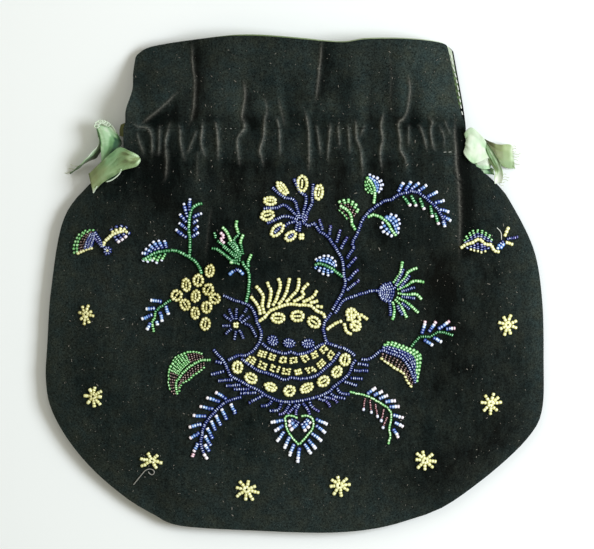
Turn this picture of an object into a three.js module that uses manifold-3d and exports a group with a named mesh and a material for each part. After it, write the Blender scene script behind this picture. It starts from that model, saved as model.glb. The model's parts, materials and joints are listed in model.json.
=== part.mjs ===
// A black velvet drawstring reticule with seed-bead embroidery, lying face up: mouth toward +Y, beads toward +Z.
import * as THREE from 'three';
import Module from 'manifold-3d';

const wasm = await Module();
wasm.setup();

// Driving dimensions, in millimetres
const BODY_WIDTH = 224.4;
const BODY_HEIGHT = 169.4;
const CASING_HEIGHT = 12.6;
const HEADING_HEIGHT = 41.4;
const NECK_WIDTH = 154;
const MOUTH_WIDTH = 143;
const LEFT_MOUTH_CORNER = 12;
const RIGHT_MOUTH_CORNER = 6;
const BAG_THICKNESS = 15.5;
const MOUTH_THICKNESS = 15;
const VELVET = 1.4;
const LINING = 0.5;
const LINING_GAP = 0.7;
const LINING_INSET = 7.5;
const LINING_EDGE_STRIP = 0.5;
const SEAM_LEVEL = 4.2;
const SEAM_GAP = 0.3;
const SLIT_OPENING = 3.6;
const SLIT_RUN = 10;
const SLIT_OVERHANG = 2;
const BODY_ROUND = 34;
const NECK_ROUND = 14;
const GATHER_DEPTH = 1.8;
const GATHER_FALL = 24;
const HEADING_WAVE = 1.5;
const HEADING_WAVE_PITCH = 29;
const RIBBON_WIDTH = 10;
const RIBBON = 0.5;
const RIBBON_REACH = 2.2;
const KNOT_LENGTH = 9;
const KNOT_WIDTH = 8;
const KNOT_THICKNESS = 5;
const CLEARANCE = 0.35;
const BEAD_GAP = 0.3;
const BEAD_REACH = 1.6;
const BOW_REACH = 1.5;
const FINE_BEAD = 1;
const LARGE_BEAD = 1.3;
const BLOCK_WIDTH = 3;
const STITCH_SQUARE = 0.45;
const BOW_SQUARE = 0.45;

// Counts
const FRONT_GATHERS = 24;
const BACK_GATHERS = 15;
const BODY_COLUMNS = 13;
const LINING_COLUMNS = 9;
const RING_SIDES = 7;

// The outline, the beadwork and the bows are drawn on a chart of squares, counted to the right and down.
// Its top row is the lower casing seam and its last row is the lowest point of the bag.
const CHART_MIDDLE = 294.7;
const CHART_ACROSS = 498.6;
const CHART_TOP = 156.6;
const CHART_DOWN = 376.4;
const CHART_CASING = 142.6;
const CHART_LEFT_END = 123.6;
const CHART_RIGHT_END = 465.8;

const TOTAL_HEIGHT = BODY_HEIGHT + CASING_HEIGHT + HEADING_HEIGHT;
const MOUTH_Y = TOTAL_HEIGHT / 2;
const CASING_Y = MOUTH_Y - HEADING_HEIGHT;
const NECK_Y = CASING_Y - CASING_HEIGHT;
const CASING_MIDDLE = (CASING_Y + NECK_Y) / 2;
const SQUARE_X = BODY_WIDTH / CHART_ACROSS;
const SQUARE_Y = BODY_HEIGHT / CHART_DOWN;

const chartX = (column) => (column - CHART_MIDDLE) * SQUARE_X;
const chartY = (row) => NECK_Y - (row - CHART_TOP) * SQUARE_Y;
const onChart = (points) => points.map(([column, row]) => new THREE.Vector2(chartX(column), chartY(row)));

// Beadwork keeps the size of its squares: each group is drawn about one pinned chart point,
// and only that point follows the size of the body
const BOUQUET_MIDDLE = [CHART_MIDDLE, 319];
let pin = BOUQUET_MIDDLE;
function onCloth(points) {
  const [middle, level] = pin;
  return points.map(([column, row]) => {
    const across = (column - middle) * STITCH_SQUARE;
    const down = (row - level) * STITCH_SQUARE;
    return new THREE.Vector2(chartX(middle) + across, chartY(level) - down);
  });
}

// Outline of the body, drawn on the chart from the base corners up to the shoulders
const BASE_EDGE = [[150, 513], [180, 526], [256, 531], [329, 533], [380, 528], [426, 515]];
const LEFT_SIDE = [
  [150, 513], [127, 499], [93.6, 470.8], [66.8, 438.6], [50, 406.5], [45.4, 377], [47, 343.6],
  [50.7, 290], [63, 220], [90, 183.5],
];
const RIGHT_SIDE = [
  [426, 515], [451, 503], [494.8, 470.2], [529, 437], [542.5, 409.7], [544, 360], [542.5, 299.5],
  [534, 249], [511.4, 203], [497, 183.7],
];
const BODY_ROWS = [502, 486, 463, 434, 402, 368, 320, 270, 234];

const MATERIALS = {
  velvet: { color: 0x1b1b1a, roughness: 0.9 },
  lining: { color: 0x6f8f4a, roughness: 0.55 },
  ribbon: { color: 0xa9c096, roughness: 0.5 },
  blue: { color: 0x4668ac, roughness: 0.3 },
  yellow: { color: 0xd9b34a, roughness: 0.3 },
  green: { color: 0x7fa548, roughness: 0.3 },
  pale: { color: 0xc9d6d8, roughness: 0.3 },
};

const part = new THREE.Group();
part.name = 'reticule';
const finishes = {};
for (const [name, finish] of Object.entries(MATERIALS)) {
  finishes[name] = new THREE.MeshStandardMaterial({ ...finish, metalness: 0 });
}

function add(name, geometry, finish) {
  geometry.computeVertexNormals();
  const mesh = new THREE.Mesh(geometry, finishes[finish]);
  mesh.name = name;
  part.add(mesh);
  return mesh;
}

const clamp = (value) => Math.min(1, Math.max(0, value));
const mix = (a, b, t) => a + (b - a) * t;
const smooth = (from, to, value) => THREE.MathUtils.smoothstep(value, from, to);
const bulge = (distance, reach) => 1 - (1 - clamp(distance / reach)) ** 2;

// X on a line of points at a given Y
function crossing(line, y) {
  for (let i = 1; i < line.length; i++) {
    const [a, b] = [line[i - 1], line[i]];
    if (y <= b.y || i === line.length - 1) {
      return mix(a.x, b.x, clamp((y - a.y) / (b.y - a.y)));
    }
  }
  return line[0].x;
}

// Sides of one panel: spline up to the neck, straight casing, tapering heading with rounded corners
const sideLine = (chart, sign) => {
  const points = [...onChart(chart), new THREE.Vector2((sign * NECK_WIDTH) / 2, NECK_Y)];
  return new THREE.SplineCurve(points).getPoints(90);
};
const leftLine = sideLine(LEFT_SIDE, -1);
const rightLine = sideLine(RIGHT_SIDE, 1);
const baseLine = new THREE.SplineCurve(onChart(BASE_EDGE)).getPoints(40);

function baseAt(x) {
  const turned = baseLine.map((p) => new THREE.Vector2(p.y, p.x));
  return crossing(turned, x);
}

function sidesAt(y, overhang) {
  if (y <= NECK_Y) {
    return [crossing(leftLine, y), crossing(rightLine, y)];
  }
  const up = clamp((y - CASING_Y) / HEADING_HEIGHT);
  const corner = (size) => size * clamp(1 - (MOUTH_Y - y) / size) ** 2;
  const half = mix(NECK_WIDTH, MOUTH_WIDTH, up) / 2;
  const lap = overhang * smooth(CASING_Y, CASING_Y + SLIT_RUN, y);
  return [corner(LEFT_MOUTH_CORNER) - half, half + lap - corner(RIGHT_MOUTH_CORNER)];
}

// Shape of the bag across the panel: 0 at the edge, 1 on the level middle
function fullness(x, y, overhang) {
  const [left, right] = sidesAt(y, overhang);
  const reach = mix(BODY_ROUND, NECK_ROUND, smooth(NECK_Y - 45, NECK_Y, y));
  const side = bulge(Math.min(x - left, right - x), reach);
  return side * bulge(y - baseAt(x), BODY_ROUND);
}

// How deep the gathers are at a level: full in the casing, fading below it and easing above it
function gatherDepth(y) {
  if (y < NECK_Y) {
    return GATHER_DEPTH * clamp(1 - (NECK_Y - y) / GATHER_FALL) ** 2;
  }
  return GATHER_DEPTH * mix(1, 0.4, clamp((y - CASING_Y) / HEADING_HEIGHT));
}

const waveDepth = (y) => HEADING_WAVE * clamp((y - CASING_Y) / HEADING_HEIGHT);
function headingWave(x, y) {
  return waveDepth(y) * (0.5 - 0.5 * Math.cos((2 * Math.PI * x) / HEADING_WAVE_PITCH + 1.1));
}

// Front: the fold value is 1 on a gather's ridge and 0 in the hollow between two
function frontOuter(x, y, fold, wave = headingWave(x, y)) {
  const opened = SLIT_OPENING * smooth(NECK_Y - SLIT_RUN, NECK_Y, y);
  const edge = SEAM_LEVEL + SEAM_GAP / 2 + VELVET + opened;
  const top = mix(BAG_THICKNESS, MOUTH_THICKNESS, clamp((y - CASING_Y) / HEADING_HEIGHT));
  const full = fullness(x, y, 0);
  return edge + (top - edge - wave - gatherDepth(y) * (1 - fold)) * full;
}
const frontInner = (x, y) => frontOuter(x, y, 0, waveDepth(y)) - VELVET;

function backOuter(x, y, fold) {
  const edge = SEAM_LEVEL - SEAM_GAP / 2 - VELVET;
  const full = fullness(x, y, SLIT_OVERHANG);
  return edge * (1 - full) + gatherDepth(y) * (1 - fold) * full;
}
const backInner = (x, y) => backOuter(x, y, 0) + VELVET;

// Gathers are spaced unevenly, as hand gathering is
function gatherLine(count) {
  const pitch = NECK_WIDTH / count;
  const ridges = [];
  for (let k = 0; k < count; k++) {
    ridges.push(-NECK_WIDTH / 2 + pitch * (k + 0.5 + 0.26 * Math.sin(2.4 * k)));
  }
  const stations = [];
  ridges.forEach((ridge, k) => {
    if (k > 0) {
      stations.push([(ridges[k - 1] + ridge) / 2, 0]);
    }
    stations.push([ridge, 1]);
  });
  return stations;
}

// Points of one row of a panel, left to right
function plainRow(y, overhang, inset, height, columns) {
  const [left, right] = sidesAt(y, overhang);
  const row = [];
  for (let i = 0; i < columns; i++) {
    const across = 0.5 - 0.5 * Math.cos((Math.PI * i) / (columns - 1));
    const x = mix(left + inset, right - inset, across);
    row.push(new THREE.Vector3(x, y, height(x, y, 0)));
  }
  return row;
}

function gatheredRow(y, overhang, stations, height) {
  const [left, right] = sidesAt(y, overhang);
  const stretch = (right - left) / NECK_WIDTH;
  const row = [new THREE.Vector3(left, y, height(left, y, 0))];
  for (const [station, fold] of stations) {
    const x = left + (station + NECK_WIDTH / 2) * stretch;
    row.push(new THREE.Vector3(x, y, height(x, y, fold)));
  }
  row.push(new THREE.Vector3(right, y, height(right, y, 0)));
  return row;
}

function baseRow(inset, height, columns) {
  const first = baseLine[0].x + inset;
  const last = baseLine[baseLine.length - 1].x - inset;
  const row = [];
  for (let i = 0; i < columns; i++) {
    const x = mix(first, last, i / (columns - 1));
    const y = baseAt(x) + inset;
    row.push(new THREE.Vector3(x, y, height(x, y, 0)));
  }
  return row;
}

// Triangles between two rows of points that run left to right, the first row below the second
function zip(low, high) {
  const faces = [];
  let i = 0;
  let j = 0;
  while (i < low.length - 1 || j < high.length - 1) {
    const nextLow = i < low.length - 1 ? (i + 1) / (low.length - 1) : Infinity;
    const nextHigh = j < high.length - 1 ? (j + 1) / (high.length - 1) : Infinity;
    if (nextLow <= nextHigh) {
      faces.push([low[i], low[i + 1], high[j]]);
      i += 1;
    } else {
      faces.push([low[i], high[j + 1], high[j]]);
      j += 1;
    }
  }
  return faces;
}

const turn = (faces) => faces.map(([a, b, c]) => [a, c, b]);

function skin(rows) {
  return rows.slice(1).flatMap((row, i) => zip(rows[i], row));
}

// Closed sheet between an upper and a lower set of rows at the same levels
function sheet(upper, lower) {
  const last = upper.length - 1;
  const faces = [...skin(upper), ...turn(skin(lower))];
  faces.push(...zip(lower[0], upper[0]), ...turn(zip(lower[last], upper[last])));
  const first = (rows) => rows.map((row) => row[0]);
  const final = (rows) => rows.map((row) => row[row.length - 1]);
  faces.push(...turn(zip(first(lower), first(upper))), ...zip(final(lower), final(upper)));
  return faces;
}

function geometryOf(faces) {
  return new THREE.BufferGeometry().setFromPoints(faces.flat());
}

const bodyLevels = BODY_ROWS.map((row) => chartY(row));
const gatherLevels = [
  NECK_Y - GATHER_FALL * 0.75, NECK_Y - GATHER_FALL * 0.35, NECK_Y, CASING_Y, CASING_Y + HEADING_HEIGHT * 0.25,
  MOUTH_Y - LEFT_MOUTH_CORNER, MOUTH_Y - RIGHT_MOUTH_CORNER * 0.6, MOUTH_Y,
];
const allLevels = [...bodyLevels, ...gatherLevels];

// The two velvet panels
const frontFolds = gatherLine(FRONT_GATHERS);
const backFolds = gatherLine(BACK_GATHERS);
const frontTop = [
  baseRow(0, frontOuter, BODY_COLUMNS),
  ...bodyLevels.map((y) => plainRow(y, 0, 0, frontOuter, BODY_COLUMNS)),
  ...gatherLevels.map((y) => gatheredRow(y, 0, frontFolds, frontOuter)),
];
const frontUnder = [
  baseRow(0, frontInner, BODY_COLUMNS),
  ...allLevels.map((y) => plainRow(y, 0, 0, frontInner, BODY_COLUMNS)),
];
add('front_panel', geometryOf(sheet(frontTop, frontUnder)), 'velvet');

const backTop = [
  baseRow(0, backInner, BODY_COLUMNS),
  ...allLevels.map((y) => plainRow(y, SLIT_OVERHANG, 0, backInner, BODY_COLUMNS)),
];
const backUnder = [
  baseRow(0, backOuter, BODY_COLUMNS),
  ...bodyLevels.map((y) => plainRow(y, SLIT_OVERHANG, 0, backOuter, BODY_COLUMNS)),
  ...gatherLevels.map((y) => gatheredRow(y, SLIT_OVERHANG, backFolds, backOuter)),
];
add('back_panel', geometryOf(sheet(backTop, backUnder)), 'velvet');

// The silk lining hangs just inside each panel and dips at the casing to leave the ribbon's channel
const channel = RIBBON + 2 * CLEARANCE;
const liningGap = (y) => mix(LINING_GAP, Math.max(channel, LINING_GAP), y >= NECK_Y && y <= CASING_Y ? 1 : 0);
const liningLevels = [...allLevels.slice(1, -1), MOUTH_Y - LINING_EDGE_STRIP];
const liningInset = (y) => mix(LINING_INSET, LINING_EDGE_STRIP, smooth(CASING_Y, CASING_Y + SLIT_RUN, y));
const liningRows = (overhang, height) =>
  liningLevels.map((y) => plainRow(y, overhang, liningInset(y), height, LINING_COLUMNS));
const frontLining = (drop) => (x, y) => frontInner(x, y) - liningGap(y) - drop;
const backLining = (rise) => (x, y) => backInner(x, y) + liningGap(y) + rise;
add('front_lining', geometryOf(sheet(liningRows(0, frontLining(0)), liningRows(0, frontLining(LINING)))), 'lining');
add(
  'back_lining',
  geometryOf(sheet(liningRows(SLIT_OVERHANG, backLining(LINING)), liningRows(SLIT_OVERHANG, backLining(0)))),
  'lining',
);

// Band of ribbon between two edge lines
function band(edgeA, edgeB) {
  const stations = edgeA.map((a, i) => {
    const b = edgeB[i];
    const before = Math.max(i - 1, 0);
    const after = Math.min(i + 1, edgeA.length - 1);
    const along = edgeA[after].clone().add(edgeB[after]).sub(edgeA[before]).sub(edgeB[before]);
    const half = along.cross(b.clone().sub(a)).setLength(RIBBON / 2);
    return [a.clone().add(half), b.clone().add(half), b.clone().sub(half), a.clone().sub(half)];
  });
  return geometryOf(tube(stations, false));
}

// Closed tube through stations that each hold the same number of corner points
function tube(stations, ring) {
  const faces = [];
  const corners = stations[0].length;
  const runs = ring ? stations.length : stations.length - 1;
  for (let i = 0; i < runs; i++) {
    const here = stations[i];
    const next = stations[(i + 1) % stations.length];
    for (let c = 0; c < corners; c++) {
      const d = (c + 1) % corners;
      faces.push([here[c], next[c], next[d]], [here[c], next[d], here[d]]);
    }
  }
  if (!ring) {
    const end = stations[stations.length - 1];
    for (let c = 1; c < corners - 1; c++) {
      faces.push([stations[0][0], stations[0][c], stations[0][c + 1]], [end[0], end[c + 1], end[c]]);
    }
  }
  return faces;
}

// Drawstring in its casing, on the columns of the panel so that it lies parallel to the velvet
function drawstring(overhang, height) {
  const row = plainRow(CASING_MIDDLE, overhang, 0, height, BODY_COLUMNS);
  const ends = [row[0].clone(), row[row.length - 1].clone()];
  ends[0].x -= RIBBON_REACH;
  ends[1].x += RIBBON_REACH;
  const line = [ends[0], ...row, ends[1]];
  const shifted = (side) => line.map((p) => p.clone().setY(p.y + (side * RIBBON_WIDTH) / 2));
  return band(shifted(-1), shifted(1));
}
add('front_drawstring', drawstring(0, (x, y) => frontInner(x, y) - CLEARANCE - RIBBON / 2), 'ribbon');
add('back_drawstring', drawstring(SLIT_OVERHANG, (x, y) => backInner(x, y) + CLEARANCE + RIBBON / 2), 'ribbon');

// Height of the velvet front at a point, from its own faces
const velvetFaces = skin(frontTop).map(([a, b, c]) => new THREE.Triangle(a, b, c));
const probe = new THREE.Vector3();
function velvetAt(x, y) {
  let height = 0;
  for (const { a, b, c } of velvetFaces) {
    const twice = (b.x - a.x) * (c.y - a.y) - (c.x - a.x) * (b.y - a.y);
    const p = ((x - a.x) * (c.y - a.y) - (c.x - a.x) * (y - a.y)) / twice;
    const q = ((b.x - a.x) * (y - a.y) - (x - a.x) * (b.y - a.y)) / twice;
    if (p >= -1e-6 && q >= -1e-6 && p + q <= 1 + 1e-6) {
      probe.copy(a).multiplyScalar(1 - p - q).addScaledVector(b, p).addScaledVector(c, q);
      height = Math.max(height, probe.z);
    }
  }
  return height;
}

// Bows: chart points with a height above the table, as the two edges of each piece of ribbon.
// They are placed from the casing's end at their side and rise over the velvet where they cross it.
function bowEdge(points, sign) {
  const end = sign > 0 ? CHART_RIGHT_END : CHART_LEFT_END;
  const corners = points.map(([column, row, z]) => {
    const x = (sign * NECK_WIDTH) / 2 + (column - end) * BOW_SQUARE;
    return new THREE.Vector3(x, CASING_MIDDLE - (row - CHART_CASING) * BOW_SQUARE, z);
  });
  const line = [corners[0]];
  for (let i = 1; i < corners.length; i++) {
    line.push(corners[i - 1].clone().lerp(corners[i], 0.5), corners[i]);
  }
  return line.map((point) => point.setZ(Math.max(point.z, velvetNear(point) + CLEARANCE + RIBBON)));
}

// Highest velvet close round a point
function velvetNear({ x, y }) {
  const steps = [-BOW_REACH, 0, BOW_REACH];
  return Math.max(...steps.flatMap((dx) => steps.map((dy) => velvetAt(x + dx, y + dy))));
}
const KNOT_LEVEL = SEAM_LEVEL + (SEAM_GAP + SLIT_OPENING) / 2;
function knot(sign) {
  const solid = new THREE.SphereGeometry(0.5, 8, 6);
  solid.scale(KNOT_WIDTH, KNOT_LENGTH, KNOT_THICKNESS);
  const overhang = sign > 0 ? SLIT_OVERHANG : 0;
  const edge = sidesAt(CASING_MIDDLE, overhang)[sign > 0 ? 1 : 0];
  const middle = edge + sign * (RIBBON_REACH + CLEARANCE + KNOT_WIDTH / 2);
  solid.translate(middle, CASING_MIDDLE - KNOT_LENGTH / 4, KNOT_LEVEL);
  return solid;
}
add('left_knot', knot(-1), 'ribbon');
add('right_knot', knot(1), 'ribbon');
const BOWS = {
  left_upper_loop: [
    [[96, 137, 4], [94, 126, 3.4], [93, 122, 5.6], [95, 125, 9], [99, 141, 10], [101, 158, 10.4]],
    [[114, 132, 4], [112, 126, 3.4], [110, 122, 5.6], [115, 129, 9], [119, 143, 10], [106, 162, 10.4]],
  ],
  left_lower_loop: [
    [[137, 152, 15.2], [122, 149, 13.4], [103, 161, 11.6], [90, 176, 9.8]],
    [[139, 163, 15], [121, 170, 13.6], [105, 182, 12], [94, 192, 11]],
  ],
  left_tail: [
    [[98.7, 147.5, 8.4], [87, 160, 9.8], [69, 173, 10.1]],
    [[97.9, 149.5, 3.4], [85, 161, 0.5], [70, 172, 0.4]],
  ],
  right_upper_loop: [
    [[467, 129, 10], [477, 131, 9.7], [487, 141, 9.4]],
    [[466, 151, 10.2], [474, 160, 9.7], [486, 166, 9.4]],
  ],
  right_fold: [
    [[490.6, 146, 8.4], [498, 155, 9.6], [505, 169, 9.8]],
    [[490.9, 147.4, 3.4], [499, 154, 0.6], [506, 168, 0.4]],
  ],
  right_tail: [
    [[494, 143, 5], [504, 142, 3], [514, 150, 1]],
    [[502, 157, 5], [509, 160, 3], [515, 168, 1]],
  ],
};
for (const [name, [edgeA, edgeB]] of Object.entries(BOWS)) {
  const sign = name.startsWith('left') ? -1 : 1;
  add(name, band(bowEdge(edgeA, sign), bowEdge(edgeB, sign)), 'ribbon');
}

// Bead strands stand on the velvet: height of the velvet under a short reach along the strand
function bedAt(p, reach) {
  const heights = [-1, -0.5, 0, 0.5, 1].map((step) => velvetAt(p.x + step * reach.x, p.y + step * reach.y));
  return Math.max(...heights) + BEAD_GAP;
}
const raise = (p, z) => new THREE.Vector3(p.x, p.y, z);

// Low gable along a line, with one width or a width for each point
function gable(line, width, bead, closed) {
  const last = line.length - 1;
  return tube(line.map((p, i) => {
    const before = line[closed ? (i + last) % (last + 1) : Math.max(i - 1, 0)];
    const after = line[closed ? (i + 1) % (last + 1) : Math.min(i + 1, last)];
    const along = after.clone().sub(before).normalize();
    const half = (Array.isArray(width) ? width[i] : width) / 2;
    const side = new THREE.Vector2(-along.y, along.x).multiplyScalar(half);
    const reach = along.clone().multiplyScalar(BEAD_REACH);
    const left = p.clone().add(side);
    const right = p.clone().sub(side);
    const low = [bedAt(right, reach), bedAt(left, reach)];
    const crown = Math.max(bedAt(p, reach), (low[0] + low[1]) / 2) + bead * 0.8;
    return [raise(right, low[0]), raise(p, crown), raise(left, low[1])];
  }), closed);
}

function solidOf(faces) {
  const index = new Map();
  const vertices = [];
  const triangles = faces.flat().map((p) => {
    const key = `${p.x.toFixed(5)},${p.y.toFixed(5)},${p.z.toFixed(5)}`;
    if (!index.has(key)) {
      index.set(key, vertices.length / 3);
      vertices.push(p.x, p.y, p.z);
    }
    return index.get(key);
  });
  const mesh = new wasm.Mesh({
    numProp: 3,
    vertProperties: new Float32Array(vertices),
    triVerts: new Uint32Array(triangles),
  });
  return new wasm.Manifold(mesh);
}

const strand = (points, bead = FINE_BEAD) => solidOf(gable(onCloth(points), bead, bead, false));

// Oval ring of beads: middle and half axes on the chart, turn in degrees
function ring(column, row, halfX, halfY, turned = 0, bead = LARGE_BEAD) {
  const tilt = THREE.MathUtils.degToRad(turned);
  const points = [];
  for (let i = 0; i < RING_SIDES; i++) {
    const angle = (-2 * Math.PI * i) / RING_SIDES;
    const x = Math.cos(angle) * (halfX - bead / 2 / STITCH_SQUARE);
    const y = Math.sin(angle) * (halfY - bead / 2 / STITCH_SQUARE);
    points.push([
      column + x * Math.cos(tilt) - y * Math.sin(tilt),
      row + x * Math.sin(tilt) + y * Math.cos(tilt),
    ]);
  }
  return solidOf(gable(onCloth(points), bead, bead, true));
}

// Point and direction part of the way along a line
function lengthsOf(line) {
  return line.slice(1).map((p, i) => p.distanceTo(line[i]));
}
function along(line, share) {
  const lengths = lengthsOf(line);
  let left = share * lengths.reduce((sum, length) => sum + length, 0);
  let i = 0;
  while (i < lengths.length - 1 && left > lengths[i]) {
    left -= lengths[i];
    i += 1;
  }
  return {
    point: line[i].clone().lerp(line[i + 1], left / lengths[i]),
    direction: line[i + 1].clone().sub(line[i]).normalize(),
  };
}

const barbs = (from, to, tips, count) => ({ from, to, tips: onCloth(tips), count });

// Triangles between two lines of keyed points, the first on the right of the second
function weave(right, left) {
  const faces = [];
  let i = 0;
  let j = 0;
  while (i < right.length - 1 || j < left.length - 1) {
    const nextRight = i < right.length - 1 ? right[i + 1].key : Infinity;
    const nextLeft = j < left.length - 1 ? left[j + 1].key : Infinity;
    if (nextRight <= nextLeft) {
      faces.push([right[i].at, right[i + 1].at, left[j].at]);
      i += 1;
    } else {
      faces.push([right[i].at, left[j + 1].at, left[j].at]);
      j += 1;
    }
  }
  return faces;
}

// Underside of a flat outline whose points already have their heights
function underside(outline) {
  const flat = outline.map((p) => new THREE.Vector2(p.x, p.y));
  return THREE.ShapeUtils.triangulateShape(flat, []).map(([a, b, c]) => [outline[a], outline[c], outline[b]]);
}

// A stem with rows of barbs as one solid: the stem is a gable and each barb a blunt spike from its ridge
function spray(stemPoints, groups, bead = FINE_BEAD) {
  const stem = onCloth(stemPoints);
  const lengths = lengthsOf(stem);
  const total = lengths.reduce((sum, length) => sum + length, 0);
  const half = bead / 2;
  const foot = (half * 1.15) / total;
  const joints = [0];
  lengths.forEach((length) => joints.push(joints[joints.length - 1] + length / total));
  const sides = { left: [], right: [] };
  for (const { from, to, tips, count } of groups) {
    for (let i = 0; i < count; i++) {
      const share = count > 1 ? i / (count - 1) : 0.5;
      const key = mix(from, to, share);
      const root = along(stem, key);
      const tip = along(tips, share).point;
      const out = tip.clone().sub(root.point);
      const side = root.direction.cross(out) > 0 ? 'left' : 'right';
      sides[side].push({ key, tip, out: out.normalize(), direction: root.direction });
    }
  }
  const bed = (p) => Math.max(bedAt(p, new THREE.Vector2(BEAD_REACH, 0)), bedAt(p, new THREE.Vector2(0, BEAD_REACH)));
  const edgePoint = (key, sign) => {
    const { point, direction } = along(stem, clamp(key));
    const before = along(stem, clamp(key - 1e-3)).direction;
    const bend = direction.clone().add(before).normalize();
    const p = point.add(new THREE.Vector2(-bend.y, bend.x).multiplyScalar(sign * half));
    return { key, at: raise(p, bed(p)) };
  };
  const edgeLine = (list, sign) => {
    list.sort((a, b) => a.key - b.key);
    const line = [];
    list.forEach((barb, i) => {
      const { key, tip, out, direction } = barb;
      const before = list[i - 1];
      if (!before || key - before.key > 2.4 * foot) {
        line.push(edgePoint(Math.max(key - foot, 0.002), sign));
      }
      const across = new THREE.Vector2(-out.y, out.x);
      across.multiplyScalar(Math.sign(across.dot(direction) || 1) * half * 0.8);
      for (const step of [-1, 1]) {
        const p = tip.clone().addScaledVector(across, step);
        line.push({ key: key + step * 1e-6 + 1e-6, at: raise(p, bed(p)) });
      }
      const after = list[i + 1];
      const close = after && after.key - key <= 2.4 * foot;
      line.push(edgePoint(close ? (key + after.key) / 2 : Math.min(key + foot, 0.998), sign));
    });
    const clear = (joint) => list.every(({ key }) => Math.abs(key - joint) > 1.3 * foot);
    for (const joint of joints) {
      if (joint < 1e-6 || joint > 1 - 1e-6 || clear(joint)) {
        line.push(edgePoint(joint, sign));
      }
    }
    return line.sort((a, b) => a.key - b.key);
  };
  const left = edgeLine(sides.left, 1);
  const right = edgeLine(sides.right, -1);
  const keys = [...joints, ...sides.left.map(({ key }) => key), ...sides.right.map(({ key }) => key)];
  const ridge = keys.sort((a, b) => a - b).filter((key, i) => i === 0 || key - keys[i - 1] > 1e-4).map((key) => {
    const p = along(stem, key).point;
    return { key, at: raise(p, bed(p) + bead * 0.8) };
  });
  const outline = [...right, ...left.slice().reverse()].map(({ at }) => at);
  const ends = [ridge.length - 1, left.length - 1, right.length - 1];
  return solidOf([
    ...weave(ridge, left),
    ...weave(right, ridge),
    ...underside(outline),
    [left[0].at, right[0].at, ridge[0].at],
    [right[ends[2]].at, left[ends[1]].at, ridge[ends[0]].at],
  ]);
}

// Petals round a middle, each a blunt spike, in order round the flower
function burst(middle, tips, hub, bead) {
  const [centre] = onCloth([middle]);
  const crown = raise(centre, bedAt(centre, new THREE.Vector2(hub, hub)) + bead * 0.8);
  const spikes = onCloth(tips).map((tip) => ({ tip, out: tip.clone().sub(centre) }));
  spikes.sort((a, b) => Math.atan2(a.out.y, a.out.x) - Math.atan2(b.out.y, b.out.x));
  const outline = [];
  spikes.forEach(({ tip, out }, i) => {
    const next = spikes[(i + 1) % spikes.length].out;
    const across = new THREE.Vector2(-out.y, out.x).setLength(bead * 0.45);
    const notch = out.clone().normalize().add(next.clone().normalize()).setLength(hub).add(centre);
    outline.push(tip.clone().sub(across), tip.clone().add(across), notch);
  });
  const rim = outline.map((p) => raise(p, bedAt(p, new THREE.Vector2(bead / 2, bead / 2))));
  const top = rim.map((p, i) => [p, rim[(i + 1) % rim.length], crown]);
  return solidOf([...top, ...underside(rim)]);
}

function motif(name, finish, solids) {
  const mesh = wasm.Manifold.union(solids).getMesh();
  const geometry = new THREE.BufferGeometry();
  geometry.setAttribute('position', new THREE.BufferAttribute(new Float32Array(mesh.vertProperties), 3));
  geometry.setIndex(new THREE.BufferAttribute(new Uint32Array(mesh.triVerts), 1));
  add(name, geometry, finish);
}

// Eight-petalled stars along the lower edge: middle, half width and half height
const STAR_PETALS = 8;
const STARS = {
  star_left_upper: [86.9, 314.8, 9.4, 11],
  star_left_lower: [93.6, 396.6, 10, 10.8],
  star_base_left: [151.8, 460.4, 11, 10],
  star_base_middle_left: [246.3, 489.7, 12, 10.8],
  star_base_middle_right: [339.6, 485.6, 10.6, 10.3],
  star_base_right: [424.8, 460, 11, 10.2],
  star_right_lower: [490.5, 403.2, 11, 11],
  star_right_upper: [507.3, 325, 10.2, 11.3],
};
for (const [name, [column, row, halfX, halfY]] of Object.entries(STARS)) {
  pin = [column, row];
  const tips = [];
  for (let i = 0; i < STAR_PETALS; i++) {
    const angle = (2 * Math.PI * (i + 0.5)) / STAR_PETALS;
    tips.push([column + halfX * Math.cos(angle), row + halfY * Math.sin(angle)]);
  }
  motif(name, 'yellow', [burst([column, row], tips, LARGE_BEAD * 1.3, LARGE_BEAD)]);
}

// Insects at the two sides
pin = [98, 243];
motif('left_insect', 'green', [
  spray([[75, 253.5], [84, 250.5], [93.5, 247]], [
    barbs(0.02, 0.98, [[72.5, 249], [75, 240], [82, 232], [94, 229]], 8),
  ]),
  strand([[92.5, 236], [99, 243], [105, 249.5]]),
  spray([[102, 247], [108, 240], [115, 234.5], [126, 231]], [
    barbs(0.3, 0.97, [[111, 230.5], [119, 226.5], [131, 228]], 4),
    barbs(0.4, 0.97, [[118, 242.5], [124, 239.5], [131, 234.5]], 3),
  ]),
  ring(107.5, 251.5, 5, 5, 0, FINE_BEAD),
]);
pin = [488, 243];
motif('right_insect', 'yellow', [
  spray([[460, 248], [469, 243.5], [478.5, 239.3], [490, 245], [499, 252]], [
    barbs(0.08, 0.8, [[464, 240], [466.5, 234.5], [473, 230], [483, 231.5], [490.5, 238]], 8),
    barbs(0.25, 0.8, [[467, 250], [475, 252.5], [482, 254], [488, 251.5]], 6),
  ]),
  strand([[497, 250.5], [500, 244], [505, 240], [517.5, 236]]),
  strand([[504, 240.5], [508, 227.6]]),
  strand([[503, 241], [512.5, 244.4]]),
]);

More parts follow.
